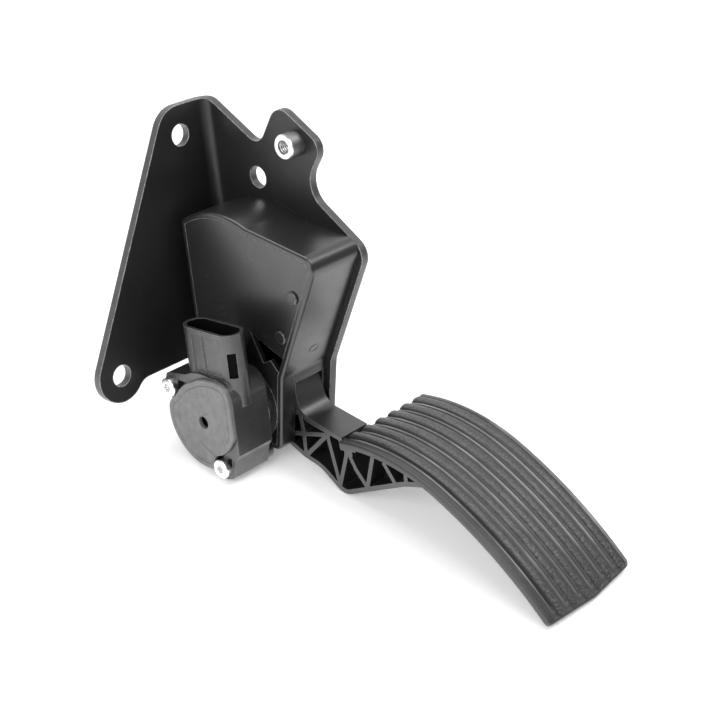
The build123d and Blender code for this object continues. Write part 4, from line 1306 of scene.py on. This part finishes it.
@dataclass
class Studio:
    """Camera, floor, world and lamps."""

    eye: Point = (-0.4585, -0.5543, 0.1756)
    right: Point = (0.6667, -0.7399, -0.0898)
    down: Point = (-0.3454, -0.1999, -0.9169)
    lens: float = 75.95
    sensor: float = 36.0
    clip_end: float = 50.0
    floor_tilt: float = math.radians(15.0)
    floor_size: float = 12.0
    floor_colour: Colour = grey(0.93)
    floor_glow: float = 0.2
    fade_from: float = 0.8
    fade_to: float = 2.4
    floor_mirrored: float = 0.66
    world_strength: float = 0.6
    glossy_low: float = 0.3
    glossy_high: float = 1.4
    glossy_full: float = 0.95
    bright_side: Point = (0.55, 0.75, 0.36)
    aim: Point = (0.0, -0.09, -0.1)
    lamps: tuple[Lamp, ...] = (
        Lamp("left_softbox", (-1.3, -0.5, 0.55), 0.9, 15.0),
        Lamp("right_softbox", (0.7, -0.9, 1.2), 0.9, 13.0),
        Lamp("top_softbox", (0.1, 0.2, 1.5), 1.2, 14.0),
    )

    def camera(self) -> Object:
        """Stand the camera where the photograph was taken.

        Returns:
            The camera.
        """
        data = bpy.data.cameras.new("photo_camera")
        data.lens = self.lens
        data.sensor_width = self.sensor
        data.clip_end = self.clip_end
        camera = bpy.data.objects.new("photo_camera", data)
        right = Vector(self.right).normalized()
        down = Vector(self.down)
        up = -(down - right * down.dot(right)).normalized()
        turn = Matrix((right, up, right.cross(up))).transposed().to_4x4()
        camera.matrix_world = Matrix.Translation(self.eye) @ turn
        bpy.context.scene.collection.objects.link(camera)
        bpy.context.scene.camera = camera
        return camera

    def floor_normal(self) -> Vector:
        """Direction up from the floor, which the part lies on at a slant."""
        return Vector((0, -math.sin(self.floor_tilt), math.cos(self.floor_tilt)))

    def floor_height(self) -> float:
        """Find where the floor touches the part.

        Returns:
            Its height along the floor's normal.
        """
        normal = np.array(self.floor_normal())
        lows = []
        for node in frame["nodes"].values():
            points = np.zeros(len(node.data.vertices) * 3, np.float32)
            node.data.vertices.foreach_get("co", points)
            lows.append(float((points.reshape(-1, 3) @ normal).min()))
        return min(lows)

    def floor_material(self) -> Material:
        """Make the floor's finish, pale and seen from above only, which turns white far from the part.

        Returns:
            The material.
        """
        sheet = ShaderSheet("pale_floor")
        rays = sheet.add("ShaderNodeLightPath").outputs
        away = sheet.add("ShaderNodeVectorMath", {"operation": "LENGTH"})
        sheet.feed(away.inputs[0], sheet.add("ShaderNodeTexCoord").outputs["Object"])
        faded = sheet.span(away.outputs["Value"], self.fade_from, self.fade_to, self.floor_glow, 1.0)
        seen = sheet.math("MULTIPLY", rays["Is Camera Ray"], faded)
        mirrored = sheet.math("MULTIPLY", rays["Is Glossy Ray"], self.floor_mirrored)
        strength = sheet.math("ADD", seen, mirrored)
        glow = sheet.add("ShaderNodeEmission", Color=rgba(grey(1.0)), Strength=strength)
        lit = sheet.add("ShaderNodeBsdfDiffuse", Color=rgba(self.floor_colour))
        both = sheet.fill("ShaderNodeAddShader", {}, lit.outputs[0], glow.outputs[0])
        under = sheet.add("ShaderNodeNewGeometry").outputs["Backfacing"]
        clear = sheet.add("ShaderNodeBsdfTransparent")
        return sheet.finish(sheet.fill("ShaderNodeMixShader", {}, under, both.outputs[0], clear.outputs[0]))

    def floor(self) -> Object:
        """Lay the pale floor under the part.

        Returns:
            The floor.
        """
        normal = self.floor_normal()
        across = Vector((1, 0, 0))
        along = normal.cross(across)
        centre = normal * self.floor_height()
        half = self.floor_size / 2
        corners = [centre + across * half * a + along * half * b for a, b in ((-1, -1), (1, -1), (1, 1), (-1, 1))]
        floor = mesh_object("studio_floor", np.array(corners), [(0, 1, 2, 3)], self.floor_material())
        return floor

    def sink(self, floor: Object, piece: Object) -> None:
        """Let the floor give way where a pose presses a piece below it.

        Args:
            floor: The floor.
            piece: The piece that swings lowest.
        """
        normal = self.floor_normal()
        tree = NodeTree("floor_sinks", {"Rest Height": self.floor_height()}, floor.data.materials[0])
        swung = tree.add("GeometryNodeObjectInfo", {"transform_space": "RELATIVE"}, Object=piece)
        height = tree.dot(tree.add("GeometryNodeInputPosition").outputs[0], normal)
        low = tree.add(
            "GeometryNodeAttributeStatistic", {"data_type": "FLOAT", "domain": "POINT"},
            Geometry=swung.outputs["Geometry"], Attribute=height,
        )
        drop = tree.math("MINIMUM", tree.math("SUBTRACT", low.outputs["Min"], tree.size("Rest Height")), 0.0)
        tree.close(tree.push(normal, drop))
        tree.attach(floor)

    def world(self) -> None:
        """Make the world white to the camera, plain to the part and brighter in reflections on one side."""
        world = bpy.data.worlds.new("studio_world")
        bpy.context.scene.world = world
        world.use_nodes = True
        sheet = NodeSheet(world.node_tree)
        sheet.tree.nodes.clear()
        rays = sheet.add("ShaderNodeLightPath").outputs
        looking = sheet.add("ShaderNodeTexCoord").outputs["Generated"]
        towards = sheet.dot(looking, Vector(self.bright_side).normalized())
        glossy = sheet.span(towards, 0.0, self.glossy_full, self.glossy_low, self.glossy_high)
        strength = sheet.add("ShaderNodeMix")
        for number, value in ((0, rays["Is Glossy Ray"]), (2, self.world_strength), (3, glossy)):
            sheet.feed(strength.inputs[number], value)
        seen = sheet.math("MAXIMUM", rays["Is Camera Ray"], strength.outputs[0])
        background = sheet.add("ShaderNodeBackground", Color=rgba(grey(1.0)), Strength=seen)
        sheet.add("ShaderNodeOutputWorld", Surface=background.outputs[0])

    def build(self, swinging: Object) -> None:
        """Set up the whole studio.

        Args:
            swinging: The piece that a pose may press below the floor.
        """
        self.camera()
        self.sink(self.floor(), swinging)
        self.world()
        for lamp in self.lamps:
            lamp.hang(self.aim)
        bpy.context.scene.view_settings.view_transform = "Standard"


def main() -> None:
    """Dress the part, piece by piece, and light it."""
    logging.basicConfig(level=logging.INFO, format="%(name)s: %(message)s")
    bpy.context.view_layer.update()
    dresser = FrameDresser()
    LOG.info("dressed %d CAD nodes", dresser.dress())
    pad = TreadlePad().build(dresser.material("tread_rubber"))
    lid = SensorLid().build(dresser.material("cover_plastic"))
    mark = MouldMark().build(frame["nodes"]["housing_shell"], dresser.material("housing_plastic"))
    thread = StandoffThread().build(dresser.material("zinc_steel"))
    for piece in (pad, lid, mark, thread):
        LOG.info("%s has %d faces", piece.name, len(piece.data.polygons))
    Studio().build(pad)


if __name__ == "__main__":
    main()
